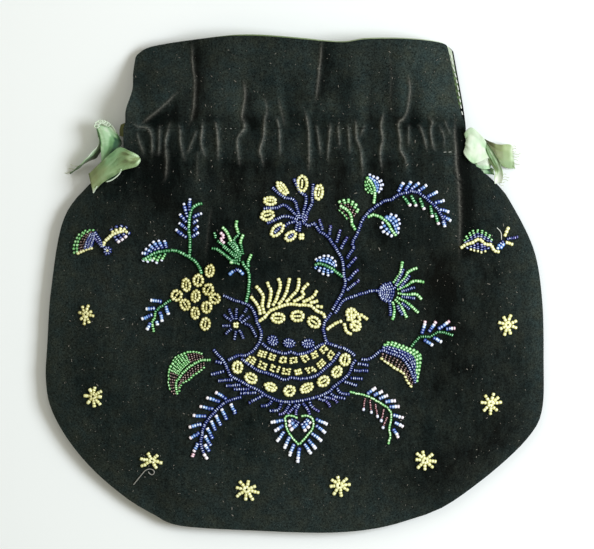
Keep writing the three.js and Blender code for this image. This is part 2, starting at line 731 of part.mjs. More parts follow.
// Bouquet: left sprays
pin = BOUQUET_MIDDLE;
motif('lavender_sprig', 'blue', [
  spray([[189, 256], [190, 239], [189, 226], [190.5, 214], [202, 203]], [
    barbs(0.3, 0.76, [[175.5, 229], [179.5, 214], [189.5, 198.7]], 5),
    barbs(0.34, 0.7, [[199.5, 232.5], [202.3, 213]], 4),
  ]),
  spray([[199.5, 269.5], [195, 261], [189, 256], [175, 251], [160, 252], [145, 258.5]], [
    barbs(0.52, 0.97, [[164, 240], [153, 241], [146, 248.7], [140.5, 256]], 6),
    barbs(0.62, 0.95, [[161, 261.5], [153, 264], [143, 262]], 4),
  ]),
]);
const GRAPES = [
  [207.5, 273], [197.6, 280.5], [186.5, 285], [208.5, 288], [176.8, 294], [196, 295], [215.3, 299],
  [186, 301.5], [206.6, 304.8], [195.2, 309.6], [205.4, 319],
];
motif('grape_cluster', 'yellow', GRAPES.map(([column, row]) => ring(column, row, 6.7, 7.6)));
motif('small_sprig', 'blue', [
  spray([[168, 303], [160.5, 307.5], [155.5, 312], [153.5, 322], [153.5, 332]], [
    barbs(0.12, 0.72, [[150.3, 300], [145.5, 309], [142, 319.5], [147, 330]], 4),
    barbs(0.05, 0.7, [[168.7, 315], [162.6, 322], [157.6, 326]], 3),
  ]),
]);
const budFoot = [241.5, 260.5];
motif('bud_spray', 'green', [
  strand([[246.4, 299], [249, 284], [248.8, 272], budFoot, [230, 259.5], [220, 250.5], [211.5, 248.5]]),
  strand([budFoot, [229, 249], [217, 240]]),
  strand([budFoot, [234, 246], [222.5, 227]]),
  strand([budFoot, [236, 245], [234.5, 238], [239, 234.5], [237, 220.3]]),
  strand([budFoot, [240.4, 243], [243.5, 234.6]]),
  strand([[248.8, 272], [248.3, 261.4], [251.7, 254.3]]),
  strand([[248.8, 276], [243.4, 274.3], [237, 269.6], [229, 274.3]]),
]);
const DAISY_TIPS = [
  [223.8, 314.5], [229, 309], [236.4, 307.9], [247, 309.5], [250, 316.4], [222.5, 325.6], [225.7, 333.7],
  [234.3, 339.4], [243.8, 338.5],
];
motif('daisy', 'blue', [burst([236.1, 325.1], DAISY_TIPS, FINE_BEAD * 2, FINE_BEAD)]);

// Fuchsia at the top, its stem and the right branches
const hub = [299.8, 220.5];
motif('fuchsia', 'yellow', [
  strand([hub, [294.3, 201.5], [287.5, 195.5]]),
  strand([hub, [306, 199], [303, 192.2]]),
  strand([hub, [311.5, 204], [315.3, 198]]),
  strand([hub, [285.2, 205], [275, 204.6]]),
  strand([hub, [285.2, 216.5], [273.5, 217]]),
  strand([hub, [280.5, 228]]),
  strand([hub, [292, 234.5]]),
  strand([hub, [301.2, 234.5]]),
  strand([hub, [307, 225.6]]),
  ring(282.3, 188.7, 9.4, 5.8, 51),
  ring(302, 183.9, 6.7, 9.6),
  ring(318.7, 192, 6.4, 9),
  ring(270, 201, 7.7, 6.3),
  ring(267.4, 215.8, 8, 6.5),
  ring(277, 229.6, 7.3, 7.3),
  ring(289.6, 236.6, 5.8, 5.6),
  ring(301.2, 237, 3.6, 5),
]);
const tallStem = [
  [311.5, 224.5], [319, 231], [328, 237.5], [335, 247], [341.5, 258.6], [343, 273], [345.3, 283.4], [341, 294.5],
  [333.5, 307],
];
motif('tall_stem', 'blue', [
  spray(tallStem, [
    barbs(0.1, 0.42, [[318.7, 219.3], [330.6, 225], [340.3, 229.5], [347.2, 236.6]], 4),
    barbs(0.52, 0.8, [[356.3, 257.1], [359.2, 280.1]], 3),
  ]),
  spray([[343.5, 277.5], [330, 268], [316.5, 262]], [
    barbs(0.45, 0.97, [[335, 264], [325, 255.8], [315, 258.6]], 5),
    barbs(0.4, 0.92, [[331.5, 275.5], [321.5, 272.8], [314.5, 267.2]], 4),
  ]),
]);
const branch = [
  [346.3, 259], [353.4, 248], [355.4, 236.6], [361.6, 221.2], [371.1, 209.8], [391.2, 199], [404.6, 193],
  [414.2, 191.8], [427.6, 200.2], [438.5, 212], [444.8, 226],
];
motif('right_branch', 'blue', [
  spray(branch, [
    barbs(0.56, 0.97, [[403.2, 182.5], [419, 182.5], [437, 192], [450.6, 218], [449, 229]], 9),
    barbs(0.6, 0.9, [[410.4, 206.4], [423.8, 210.2], [437, 225]], 5),
  ]),
  spray([[357.8, 231], [351.5, 218], [339, 205]], [
    barbs(0.35, 0.97, [[357.8, 208.8], [352, 201], [340, 200.5]], 5),
    barbs(0.45, 0.9, [[344.4, 217.4], [338, 210]], 3),
  ]),
  spray([[374, 208.5], [374.5, 194], [366, 177.7]], [
    barbs(0.35, 0.95, [[381.5, 190], [381, 181.5], [370, 175]], 4),
    barbs(0.45, 0.85, [[366.8, 192.5], [364.5, 183.5]], 3),
  ]),
  spray([[365, 216], [374, 215.5], [386, 222], [395.6, 235.8]], [
    barbs(0.4, 0.95, [[392, 214.5], [399.4, 222], [398.5, 232.2]], 5),
    barbs(0.45, 0.9, [[381.5, 225], [383.5, 232.5], [390.5, 236.5]], 4),
  ]),
]);
motif('thistle', 'green', [
  strand([[337, 311], [343.6, 300.3], [354, 296], [379.5, 292]]),
  spray([[389, 281.5], [395, 285], [396.5, 292], [394.5, 299], [388, 303]], [
    barbs(0.1, 0.95, [[402.2, 261.4], [417.1, 268.1], [423.8, 282], [421.4, 299.2], [406.4, 317.6], [390, 319]], 12),
    barbs(0.25, 0.75, [[381, 288], [380, 298]], 3),
  ]),
  strand([[390, 281.8], [379, 289], [380.5, 299], [389, 302.7]]),
]);
motif('yellow_blossom', 'yellow', [
  strand([[329, 327], [333, 324.2], [347, 319.5]], LARGE_BEAD),
  ring(350.5, 314.3, 6.2, 6.2),
  ring(354.5, 325, 6.2, 6.2),
  strand([[350.5, 319.7], [358, 318], [361.5, 315], [368, 319]], LARGE_BEAD),
  strand([[349, 320], [345.3, 329.8], [352, 334]], LARGE_BEAD),
]);

// Basket: blue outline with its fringe, plume, rings and rows of bead blocks
const basketBowl = [
  [213.3, 349.3], [224.5, 361.8], [229.6, 374.8], [248.7, 386], [267.8, 396], [290.8, 401.8], [315.7, 397],
  [332, 388.5], [347, 375], [356, 359], [350, 351.6], [339, 347],
];
motif('basket_outline', 'blue', [
  strand([
    [223.5, 295.4], [234.4, 300.2], [245, 303.7], [252, 308.5], [256.5, 320], [261.1, 333], [257, 345.5],
    [247, 354.8], [237, 355.7], [224.8, 361.5],
  ]),
  spray(basketBowl, [
    barbs(0.1, 0.36, [[215, 361], [211.2, 374.5], [226, 385.8], [240, 393.5], [259.5, 407.5]], 8),
    barbs(0.4, 0.53, [[268.5, 411.5], [280, 412], [289, 411.5]], 4),
    barbs(0.54, 0.7, [[297.5, 411.3], [308.5, 411], [330, 406.5], [345, 398.4]], 6),
    barbs(0.72, 0.86, [[349, 393], [357, 385.5], [368, 370.5], [368.5, 364.8]], 5),
  ]),
  strand([[331, 314.6], [323.8, 327], [327, 341.8], [340, 347.5]]),
  strand([[258.5, 341.5], [268, 348.2], [285, 353], [298, 353.6], [312, 349.6], [327, 341.8]]),
  strand([
    [240, 355.5], [249, 364.5], [257, 370], [271, 373.8], [284.5, 378.6], [303, 378.2], [324.3, 369], [333, 362],
    [341.5, 347.8],
  ]),
  strand([[244.4, 324.1], [252, 329], [258.5, 341.5]]),
]);
motif('basket_plume', 'yellow', [
  spray([[262.5, 318.5], [269.7, 311.2], [289, 304], [301, 304.5], [321.5, 314]], [
    barbs(0.03, 0.93, [[250.8, 296.4], [256, 286], [278, 278.2], [299, 278.2], [317, 290.6], [322.4, 303]], 10),
  ], LARGE_BEAD),
]);
const RINGS = {
  upper_ring_left: [277.9, 318.4, 8, 5.8, 0, 'yellow'],
  upper_ring_middle: [297.3, 316, 7.6, 6.4, 0, 'yellow'],
  upper_ring_right: [313.2, 322.2, 7.6, 5.8, 35, 'yellow'],
  middle_ring_left: [273, 340, 6.2, 5.6, 0, 'blue'],
  middle_ring_centre: [289.2, 343, 6.7, 5.3, 0, 'blue'],
  middle_ring_right: [307.6, 342.8, 7.2, 5.3, 0, 'blue'],
  bowl_ring_1: [237.2, 367.4, 5.7, 6.9, 0, 'yellow'],
  bowl_ring_2: [252, 377.2, 7.2, 5.4, 30, 'yellow'],
  bowl_ring_3: [270.7, 386.4, 7.4, 5.2, 25, 'yellow'],
  bowl_ring_4: [289.4, 390.4, 6.8, 6.2, 0, 'yellow'],
  bowl_ring_5: [306.6, 387.6, 7.6, 5.4, -28, 'yellow'],
  bowl_ring_6: [322.6, 380.8, 7.4, 5.6, -32, 'yellow'],
  bowl_ring_7: [335.8, 371.2, 6.9, 5.6, -50, 'yellow'],
  bowl_ring_8: [345, 359, 6, 6.6, 0, 'yellow'],
};
for (const [name, [column, row, halfX, halfY, turned, finish]] of Object.entries(RINGS)) {
  motif(name, finish, [ring(column, row, halfX, halfY, turned)]);
}

// Row of bead blocks joined end to end by a narrow neck
function blockRow(points, count) {
  const curve = onCloth(points);
  const line = [];
  const widths = [];
  for (let i = 0; i < count; i++) {
    for (const [share, width] of [[0.08, LARGE_BEAD], [0.12, BLOCK_WIDTH], [0.88, BLOCK_WIDTH], [0.92, LARGE_BEAD]]) {
      line.push(along(curve, (i + share) / count).point);
      widths.push(width);
    }
  }
  return solidOf(gable(line, widths, LARGE_BEAD, false));
}
motif('block_row_upper', 'yellow', [
  blockRow([[258, 353.5], [273, 358.3], [293, 361.3], [309, 358], [319, 352.5], [326.5, 347.2]], 7),
]);
motif('block_row_lower', 'blue', [
  blockRow([[251.5, 358.6], [262, 364], [273, 368], [297.5, 371.4], [311, 368.8], [322, 362.6], [333, 351.8]], 8),
]);

// Leaves and feathers below
motif('left_leaf', 'green', [
  spray([[210, 360], [194, 363.6], [180, 377], [176, 384], [177.6, 394.7]], [
    barbs(0.12, 0.96, [[200, 352.3], [188, 351.6], [174.5, 358.5], [168.2, 372], [169.4, 389], [174, 395]], 13),
    barbs(0.1, 0.9, [[203.6, 368.5], [189.3, 380.4], [180.8, 393]], 9),
  ]),
]);
motif('left_feather', 'pale', [
  spray([[242, 397.5], [221.4, 404.9], [209.2, 418.2], [203, 430], [201.5, 443], [204.5, 456]], [
    barbs(0.13, 0.82, [[215.3, 391.6], [200, 405.9], [189.3, 426.8], [193.5, 455]], 7),
    barbs(0.1, 0.84, [[235.7, 413.6], [220.9, 425.3], [209.2, 451]], 7),
  ]),
]);
motif('heart_flower', 'pale', [
  spray([[297.5, 418], [291, 416.3], [285.6, 420.5], [286.8, 429.7], [298.5, 445.5]], [
    barbs(0.36, 0.9, [[270.7, 421.6], [277.2, 441.2], [289.1, 455.4]], 5),
  ]),
  spray([[298.5, 445.5], [313, 427.4], [312, 417.8], [305, 415.8], [297.5, 418]], [
    barbs(0.02, 0.68, [[297.5, 461.9], [311, 453.5], [321.6, 440.4], [327.3, 424.4]], 6),
  ]),
  strand([[291, 416.3], [289.8, 429.7], [299, 421.3], [297.5, 418]]),
  strand([[302, 416.6], [304.4, 430], [309.5, 416.8]]),
]);
motif('right_leaf', 'green', [
  spray([[360.5, 358], [373, 356.3], [381.4, 350.2], [400, 356], [410, 369.6], [415.1, 383]], [
    barbs(0.32, 0.96, [[385, 343.6], [390, 341], [413, 349], [421, 356], [418, 380]], 12),
    barbs(0.36, 0.94, [[381.5, 359.6], [392.7, 368.3], [403.4, 374.7], [410, 387]], 8),
  ]),
  spray([[408, 351.5], [415, 341], [429, 336], [441.6, 332], [453, 335.4]], [
    barbs(0.32, 0.84, [[425.3, 320.6], [436, 321], [456, 326.5]], 4),
    barbs(0.35, 0.6, [[432.4, 345.5], [442, 342.5]], 2),
  ]),
]);
motif('right_feather', 'pale', [
  spray([[353.5, 392], [369, 396.8], [385.5, 406], [391, 414], [389.5, 428], [388.1, 444]], [
    barbs(0.2, 0.82, [[375.3, 387.2], [395.2, 399.8], [403, 421], [398.3, 437]], 8),
    barbs(0.17, 0.64, [[363.1, 410.4], [377, 418], [381.9, 428.3]], 5),
  ]),
]);

export default part;
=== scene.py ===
# A black velvet reticule with seed-bead embroidery, lying face up: mouth toward +Y, beads toward +Z.
import json
import math

import bpy
import numpy as np
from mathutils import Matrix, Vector


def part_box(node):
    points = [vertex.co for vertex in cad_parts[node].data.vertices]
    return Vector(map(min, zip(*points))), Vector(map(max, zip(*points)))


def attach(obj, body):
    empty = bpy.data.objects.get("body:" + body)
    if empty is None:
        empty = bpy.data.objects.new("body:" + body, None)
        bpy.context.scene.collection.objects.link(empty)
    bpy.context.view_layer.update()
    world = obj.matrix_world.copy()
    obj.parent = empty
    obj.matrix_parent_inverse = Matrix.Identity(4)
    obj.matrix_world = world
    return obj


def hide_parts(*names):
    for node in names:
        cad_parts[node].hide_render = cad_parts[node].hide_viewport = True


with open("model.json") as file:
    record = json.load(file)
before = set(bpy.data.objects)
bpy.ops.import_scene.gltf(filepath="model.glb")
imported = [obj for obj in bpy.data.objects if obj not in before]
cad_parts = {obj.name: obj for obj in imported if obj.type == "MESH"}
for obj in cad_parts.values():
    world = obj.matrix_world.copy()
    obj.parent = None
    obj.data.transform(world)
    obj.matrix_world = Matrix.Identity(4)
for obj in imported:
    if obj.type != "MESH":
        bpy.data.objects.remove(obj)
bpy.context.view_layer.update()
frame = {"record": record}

SLOTS = {part["node"]: part["material_slot"] for part in frame["record"]["subparts"]}
bpy.ops.object.select_all(action="DESELECT")

# Sizes in millimetres, as in the part's source
MM = 0.001
NECK_Y = 57.7
CASING_Y = 70.3
MOUTH_Y = 111.7
HEADING_HEIGHT = MOUTH_Y - CASING_Y
NECK_WIDTH = 154
BAG_THICKNESS = 15.5
MOUTH_THICKNESS = 15
VELVET = 1.4
SEAM_LEVEL = 4.2
SEAM_GAP = 0.3
SLIT_OPENING = 3.6
SLIT_RUN = 10
BODY_ROUND = 34
NECK_ROUND = 14
GATHER_DEPTH = 1.8
BACK_GATHERS = 15
GATHER_FALL = 24
GATHERS_AT_MOUTH = 0.4
STITCH_PULL = 0.55
STITCH_PULL_WIDTH = 0.8
HEADING_WAVE = 1.5
HEADING_WAVE_PITCH = 29
HEADING_BLEND = 12
CASING_BLEND = 5
LINING_GAP = 0.7
LINING_INSET = 7.5
SLIT_INSET = 0.7
CORNER_INSET = 9
RIBBON_WIDTH = 10
CLEARANCE = 0.35
PEEK_Y = 69.6

# Thickness of the cloths as they look
VELVET_CLOTH = 1.1
SILK_CLOTH = 0.3
RIBBON_CLOTH = 0.3

# Chart of squares on which the outline and the beadwork are drawn, counted to the right and down
SQUARE = 0.45
CHART_MIDDLE = 294.7
CHART_TOP = 156.6

# The view: straight down, one chart square to one image point
IMAGE_WIDTH = 594
IMAGE_HEIGHT = 549
CAMERA_HEIGHT = 2500
CAMERA_LEVEL = 9
SENSOR = 36

rng = np.random.default_rng(7)


def chart(points):
    """Chart points to millimetres; a third value is a height and stays."""
    p = np.array(points, float)
    p[..., 0] = (p[..., 0] - CHART_MIDDLE) * SQUARE
    p[..., 1] = NECK_Y - (p[..., 1] - CHART_TOP) * SQUARE
    return p


def make_camera():
    data = bpy.data.cameras.new("camera")
    data.sensor_width = SENSOR
    data.lens = SENSOR * CAMERA_HEIGHT / (IMAGE_WIDTH * SQUARE)
    camera = bpy.data.objects.new("camera", data)
    bpy.context.scene.collection.objects.link(camera)
    across, up = chart([IMAGE_WIDTH / 2, IMAGE_HEIGHT / 2])
    camera.location = Vector((across, up, CAMERA_HEIGHT + CAMERA_LEVEL)) * MM
    bpy.context.scene.camera = camera


make_camera()


# Small maths on arrays


def clamp(value):
    return np.clip(value, 0, 1)


def mix(a, b, share):
    return a + (b - a) * share


def smooth(start, end, value):
    t = clamp((value - start) / (end - start))
    return t * t * (3 - 2 * t)


def bulge(distance, reach):
    return 1 - (1 - clamp(distance / reach)) ** 2


def bell(distance, width):
    return np.exp(-((distance / width) ** 2))


def flowing(points, steps=10):
    """A smooth line through points, as many steps to each stretch."""
    p = np.asarray(points, float)
    if len(p) < 3:
        return mix(p[:1], p[-1:], np.linspace(0, 1, steps + 1)[:, None])
    ends = np.vstack((2 * p[0] - p[1], p, 2 * p[-1] - p[-2]))
    t = np.linspace(0, 1, steps, endpoint=False)[:, None]
    runs = []
    for a, b, c, d in zip(ends, ends[1:], ends[2:], ends[3:]):
        runs.append(b + 0.5 * t * (c - a + t * (2 * a - 5 * b + 4 * c - d + t * (3 * b - a - 3 * c + d))))
    return np.vstack((*runs, p[-1:]))


def measured(line):
    """Length along a line at each of its points."""
    return np.concatenate(([0], np.cumsum(np.linalg.norm(np.diff(line, axis=0), axis=1))))


def along(line, share):
    """Points at shares of a line's length."""
    at = measured(line)
    where = np.asarray(share) * at[-1]
    return np.stack([np.interp(where, at, line[:, k]) for k in range(line.shape[1])], axis=-1)


# Outline of the bag on the chart
BASE_EDGE = [(150, 513), (180, 526), (256, 531), (329, 533), (380, 528), (426, 515)]
LEFT_SIDE = [
    (150, 513), (127, 499), (93.6, 470.8), (66.8, 438.6), (50, 406.5), (45.4, 377), (47, 343.6), (50.7, 290),
    (63, 220), (90, 183.5), (123.6, 156.6),
]
RIGHT_SIDE = [
    (426, 515), (451, 503), (494.8, 470.2), (529, 437), (542.5, 409.7), (544, 360), (542.5, 299.5),
    (534, 249), (511.4, 203), (497, 183.7), (465.8, 156.6),
]
LEFT_HEADING = [(123.6, 128.6), (125.5, 122), (126.3, 109.5), (132.5, 90), (133, 73), (135, 58.5),
                (136.7, 54.3)]
RIGHT_HEADING = [(465.8, 128.6), (465.6, 126.8), (460, 109.3), (456, 91.7), (452, 67.8), (448, 48.7)]
BACK_HEADING = [(465.9, 128.6), (465.9, 124), (463, 103), (458.7, 79), (453.6, 51)]
MOUTH_EDGE = [
    (136.7, 54.3), (146.2, 47.9), (163.8, 43.9), (190.9, 39.9), (228, 36.3), (262, 36.3), (307, 39.9),
    (323, 41.5), (345, 42.6), (366, 39.5), (398, 39.1), (421.7, 40.4), (437.7, 42.3), (445.7, 44.7),
    (448, 48.7),
]
BACK_MOUTH_EDGE = [
    (136.7, 54.3), (147, 48.8), (164, 45), (191, 41), (240, 38), (323, 42.5), (398, 40.5), (436, 43),
    (448, 46), (453.6, 51),
]


def side_line(body, heading):
    return np.vstack((flowing(chart(body)), flowing(chart(heading))))


class Panel:
    """Outline of one panel: its two sides, its base and its mouth edge."""

    def __init__(self, heading, mouth):
        self.left = side_line(LEFT_SIDE, LEFT_HEADING)
        self.right = side_line(RIGHT_SIDE, heading)
        self.base = flowing(chart(BASE_EDGE))
        self.mouth = flowing(chart(mouth))

    def sides(self, y):
        return tuple(np.interp(y, line[:, 1], line[:, 0]) for line in (self.left, self.right))

    def fullness(self, x, y):
        """0 at the edge of the bag and 1 on its level middle."""
        left, right = self.sides(y)
        reach = mix(BODY_ROUND, NECK_ROUND, smooth(NECK_Y - 45, NECK_Y, y))
        side = bulge(np.minimum(x - left, right - x), reach)
        return side * bulge(y - np.interp(x, self.base[:, 0], self.base[:, 1]), BODY_ROUND)

    def grid(self, levels, across, inset=None):
        """Rows of points from the base to the mouth, with an inset that may change with the level."""
        bottom, top = self.left[0, 1], self.left[-1, 1]
        v = (np.asarray(levels) - bottom) / (top - bottom)
        inset = np.zeros_like(v) if inset is None else inset(np.asarray(levels))
        yl = mix(bottom, top, v)
        yr = mix(self.right[0, 1], self.right[-1, 1], v)
        xl = self.sides(yl)[0] + inset
        xr = self.sides(yr)[1] - inset
        u = np.asarray(across)[None, :]
        x = mix(xl[:, None], xr[:, None], u)
        y = mix(yl[:, None], yr[:, None], u)
        low_x = mix(self.base[0, 0], self.base[-1, 0], u)
        low = np.interp(low_x, self.base[:, 0], self.base[:, 1]) - mix(yl[0], yr[0], u)
        high_x = mix(self.mouth[0, 0], self.mouth[-1, 0], u)
        high = np.interp(high_x, self.mouth[:, 0], self.mouth[:, 1]) - mix(top, self.right[-1, 1], u)
        y = y + low * (1 - v[:, None]) ** 3 + high * v[:, None] ** 3
        return x, y


FRONT = Panel(RIGHT_HEADING, MOUTH_EDGE)
BACK = Panel(BACK_HEADING, BACK_MOUTH_EDGE)

# Gathers and creases of the front: height, half width and course on the chart
GATHERS = [
    (1.1, 1.0, (137, 131), (138.5, 139), (145, 157)),
    (1.5, 1.0, (132, 122), (138, 126.8), (147.6, 128.4), (151.8, 137), (152.4, 159)),
    (1.2, 0.9, (160, 124), (159.7, 131), (159, 158)),
    (1.5, 1.0, (171, 122), (168.8, 128.2), (165.7, 144), (167, 162), (165.5, 184)),
    (1.4, 1.0, (179, 124), (180.3, 132), (180.9, 145), (185.7, 163)),
    (1.0, 0.9, (197, 129), (196, 133), (189.4, 149), (188, 156)),
    (1.5, 1.0, (203, 121), (202, 132), (201.5, 146), (207, 160)),
    (0.7, 1.3, (198, 150), (197.3, 160), (197.8, 184)),
    (1.6, 1.0, (214, 121), (216.6, 128), (217.8, 141.5), (218.4, 162)),
    (1.5, 1.1, (242, 115), (244.5, 128), (237.8, 138), (237.8, 151), (240.3, 168)),
    (1.7, 0.9, (265, 112), (264, 130.6), (263.3, 138), (259.6, 151), (261.5, 157), (264, 168)),
    (1.4, 1.0, (276, 116), (279, 128), (279.6, 140), (280.2, 158)),
    (1.6, 1.0, (304, 108), (306, 116), (308.5, 130.6), (309, 158), (308, 176)),
    (1.2, 0.8, (315, 124), (317, 130), (320, 151), (320, 158)),
    (1.3, 0.9, (330, 122), (329.7, 130), (327.9, 153), (328, 164)),
    (1.2, 0.8, (338, 124), (338.2, 130), (339.4, 150)),
    (1.3, 0.8, (346, 124), (348, 129), (349, 141.5), (350, 156)),
    (1.5, 0.9, (355, 118), (355.7, 126), (356.3, 138), (360.6, 151), (361.2, 158.5), (363, 178)),
    (1.0, 0.8, (365, 125), (363.6, 128), (359.4, 138)),
    (1.6, 1.0, (384, 111), (381.8, 120), (380.6, 127), (382.4, 139), (380, 153), (382, 172)),
    (1.7, 1.0, (408.4, 112), (403.6, 118.5), (398, 124.5), (400, 140), (400, 150), (405, 160), (405, 172)),
    (1.0, 0.9, (410, 124), (408.4, 129), (408.4, 148)),
    (1.2, 0.9, (417, 124), (420.6, 129), (424.2, 140), (427.2, 153)),
    (1.5, 0.9, (426.5, 115.7), (432, 123), (430.2, 129.4), (432, 144), (436, 153)),
    (0.9, 0.8, (438, 124), (440, 128.2), (443.6, 136), (444, 150)),
    (0.9, 0.8, (444, 120), (447.2, 128), (451, 136)),
]
CREASES = [
    (0.7, 0.8, (191.7, 41), (192.5, 64.6), (194.9, 84), (192.5, 116), (187, 129)),
    (0.6, 0.9, (140, 125), (142.3, 123.6), (163.8, 106), (179.7, 90)),
    (0.7, 0.8, (321.8, 41), (320, 61.5), (316.8, 92), (315, 105)),
    (0.8, 0.9, (243.5, 80), (245, 96.5), (242, 116), (244, 127)),
    (0.8, 1.0, (407.4, 74), (409.8, 88.6), (408.2, 103), (405.8, 114), (398.6, 123)),
    (0.4, 1.2, (264, 96), (267, 110), (265, 124)),
    (0.4, 1.2, (278, 97), (285, 128)),
    (0.3, 2.0, (212, 205), (208, 232), (206, 258)),
    (0.3, 2.2, (389, 52), (391, 80), (389, 112)),
    (0.85, 0.8, (455, 116), (454.5, 136), (455.7, 150), (455.9, 165), (458, 183), (459, 200), (459.4, 232),
     (458.6, 262)),
]

# Broad painted lights and shades on the velvet: strength, half width and course on the chart
SHADES = [
    (0.5, 9, (150, 62), (176, 92)),
    (0.6, 3, (130, 98), (133, 114), (138, 123)),
    (-0.8, 3.5, (197, 45), (199, 80), (197, 112)),
    (-0.8, 4, (160, 120), (178, 110), (187, 96)),
    (0.4, 4, (226, 90), (238, 104), (236, 118)),
    (-0.7, 3, (250, 100), (252, 115), (254, 126)),
    (0.7, 2.2, (252, 114), (258, 103), (268, 106), (275, 120)),
    (0.6, 2, (279, 80), (281, 100), (287, 120)),
    (0.6, 2.4, (300, 106), (306, 116)),
    (-0.55, 5, (328, 45), (326, 75), (322, 98)),
    (0.5, 2.5, (324, 108), (331, 102), (340, 112)),
    (0.6, 4, (360, 66), (360, 95), (362, 124)),
    (-0.35, 4, (374, 50), (374, 90), (372, 124)),
    (0.6, 2.5, (386, 108), (388, 124)),
    (-0.45, 4, (394, 60), (394, 100), (393, 122)),
    (0.7, 3.5, (404, 70), (404, 95), (401, 112)),
    (-0.6, 4, (416, 75), (416, 100), (412, 122)),
    (0.5, 3, (424, 108), (430, 120)),
    (0.8, 8, (434, 98), (448, 104)),
    (1.0, 11, (428, 58), (434, 84)),
    (0.3, 9, (250, 56), (300, 62)),
    (0.4, 10, (384, 56), (392, 84)),
    (-0.45, 10, (148, 82), (190, 98)),
    (-0.5, 5, (297, 80), (298, 104)),
    (-0.6, 4, (347, 80), (347, 106)),
    (-0.6, 4, (391, 78), (391, 106)),
    (0.5, 6, (408, 52), (411, 74)),
    (-1.2, 2.2, (462, 130), (462.5, 152)),
    (-0.5, 6, (150, 150), (158, 172)),
    (-0.5, 6, (168, 150), (190, 164)),
    (0.5, 5, (298, 152), (300, 172)),
    (0.4, 3, (356, 152), (357, 172)),
    (0.35, 4, (392, 152), (392, 172)),
    (-0.7, 3.5, (165, 158), (163, 200)),
    (0.5, 5, (195, 160), (200, 200), (198, 240)),
    (-0.6, 4, (240, 165), (238, 195)),
    (0.4, 4, (252, 160), (252, 190)),
    (-0.6, 4, (262, 166), (258, 196)),
    (-0.5, 5, (340, 160), (342, 200)),
    (0.5, 4, (358, 160), (362, 200), (366, 250)),
    (-0.6, 6, (385, 165), (384, 230)),
    (0.4, 5, (404, 160), (406, 190)),
    (0.5, 4, (447, 160), (451, 200), (452, 240)),
    (-0.8, 4, (464, 160), (466, 200), (467, 250)),
    (-0.75, 16, (440, 480), (500, 440)),
    (0.5, 6, (467, 268), (471, 308)),
    (0.45, 8, (502, 294), (507, 320)),
    (-0.4, 7, (488, 272), (490, 306)),
    (-0.35, 9, (446, 262), (446, 302)),
    (0.5, 5, (533, 258), (540, 300), (541, 372)),
    (0.6, 7, (482, 502), (522, 462)),
    (0.35, 12, (62, 280), (118, 292)),
    (0.3, 12, (112, 335), (130, 375)),
    (0.3, 9, (442, 408), (458, 432)),
    (-0.3, 27, (250, 240), (400, 260)),
    (-0.15, 16, (500, 250), (512, 300)),
    (0.5, 12, (210, 506), (370, 512)),
    (0.35, 14, (90, 430), (130, 470)),
    (0.5, 8, (82, 205), (68, 260), (60, 330), (62, 390), (80, 430)),
    (-0.5, 15, (150, 190), (195, 225), (212, 265)),
    (-0.55, 13, (444, 285), (452, 340), (446, 390)),
    (-0.35, 12, (508, 330), (512, 390)),
    (0.4, 12, (190, 468), (300, 474)),
]
# Crest lines, rubbed pile with a painted highlight: how far they reach beside the line, and how sharply they
# fall off
CREST_REACH = 0.9
CREST_SHARPNESS = 5.0
# How far from its course a fold is felt, how its crest is rubbed and given a painted highlight, and how much
# painted light and shade it lays beside it
GATHER_REACH = 5
GATHER_WEAR_AND_HIGHLIGHT = 0.7
GATHER_LIGHT = 0.85
CREASE_REACH = 14
CREASE_WEAR_AND_HIGHLIGHT = 1.25
CREASE_PAINTED_SHADING = 0.8
LIGHT_SIDE_RUN = 5
DARK_SIDE_RUN = 3.2
SHADE_REACH = 2.5
# Painted light on gathers and flutes, painted sheen toward the edge and on the heading, and painted shade
# between the folds
PAINTED_LIGHT_ON_GATHERS = 1.9
PAINTED_LIGHT_ON_FLUTES = 1.6
PAINTED_SHADE_BETWEEN = 0.8
PAINTED_SHEEN_AT_EDGE = 0.8
PAINTED_LIGHT_ON_HEADING = 0.36


def beside(course, x, y, reach):
    """Points near a course on the chart: which, how far off, to which side, and the fade to its ends."""
    line = flowing(chart(course), 4)
    at = measured(line) / measured(line)[-1]
    low, high = line.min(0) - reach, line.max(0) + reach
    near = (x > low[0]) & (x < high[0]) & (y > low[1]) & (y < high[1])
    p = np.column_stack((x[near], y[near]))
    best = np.full(len(p), np.inf)
    share, side = np.zeros((2, len(p)))
    for a, b, start, end in zip(line, line[1:], at, at[1:]):
        t = clamp(((p - a) @ (b - a)) / ((b - a) @ (b - a)))
        away = p - a - t[:, None] * (b - a)
        distance = np.linalg.norm(away, axis=1)
        closer = distance < best
        best = np.where(closer, distance, best)
        share = np.where(closer, mix(start, end, t), share)
        side = np.where(closer, away[:, 0], side)
    return near, best, side, smooth(-0.02, 0.22, share) * (1 - smooth(0.7, 1.02, share))


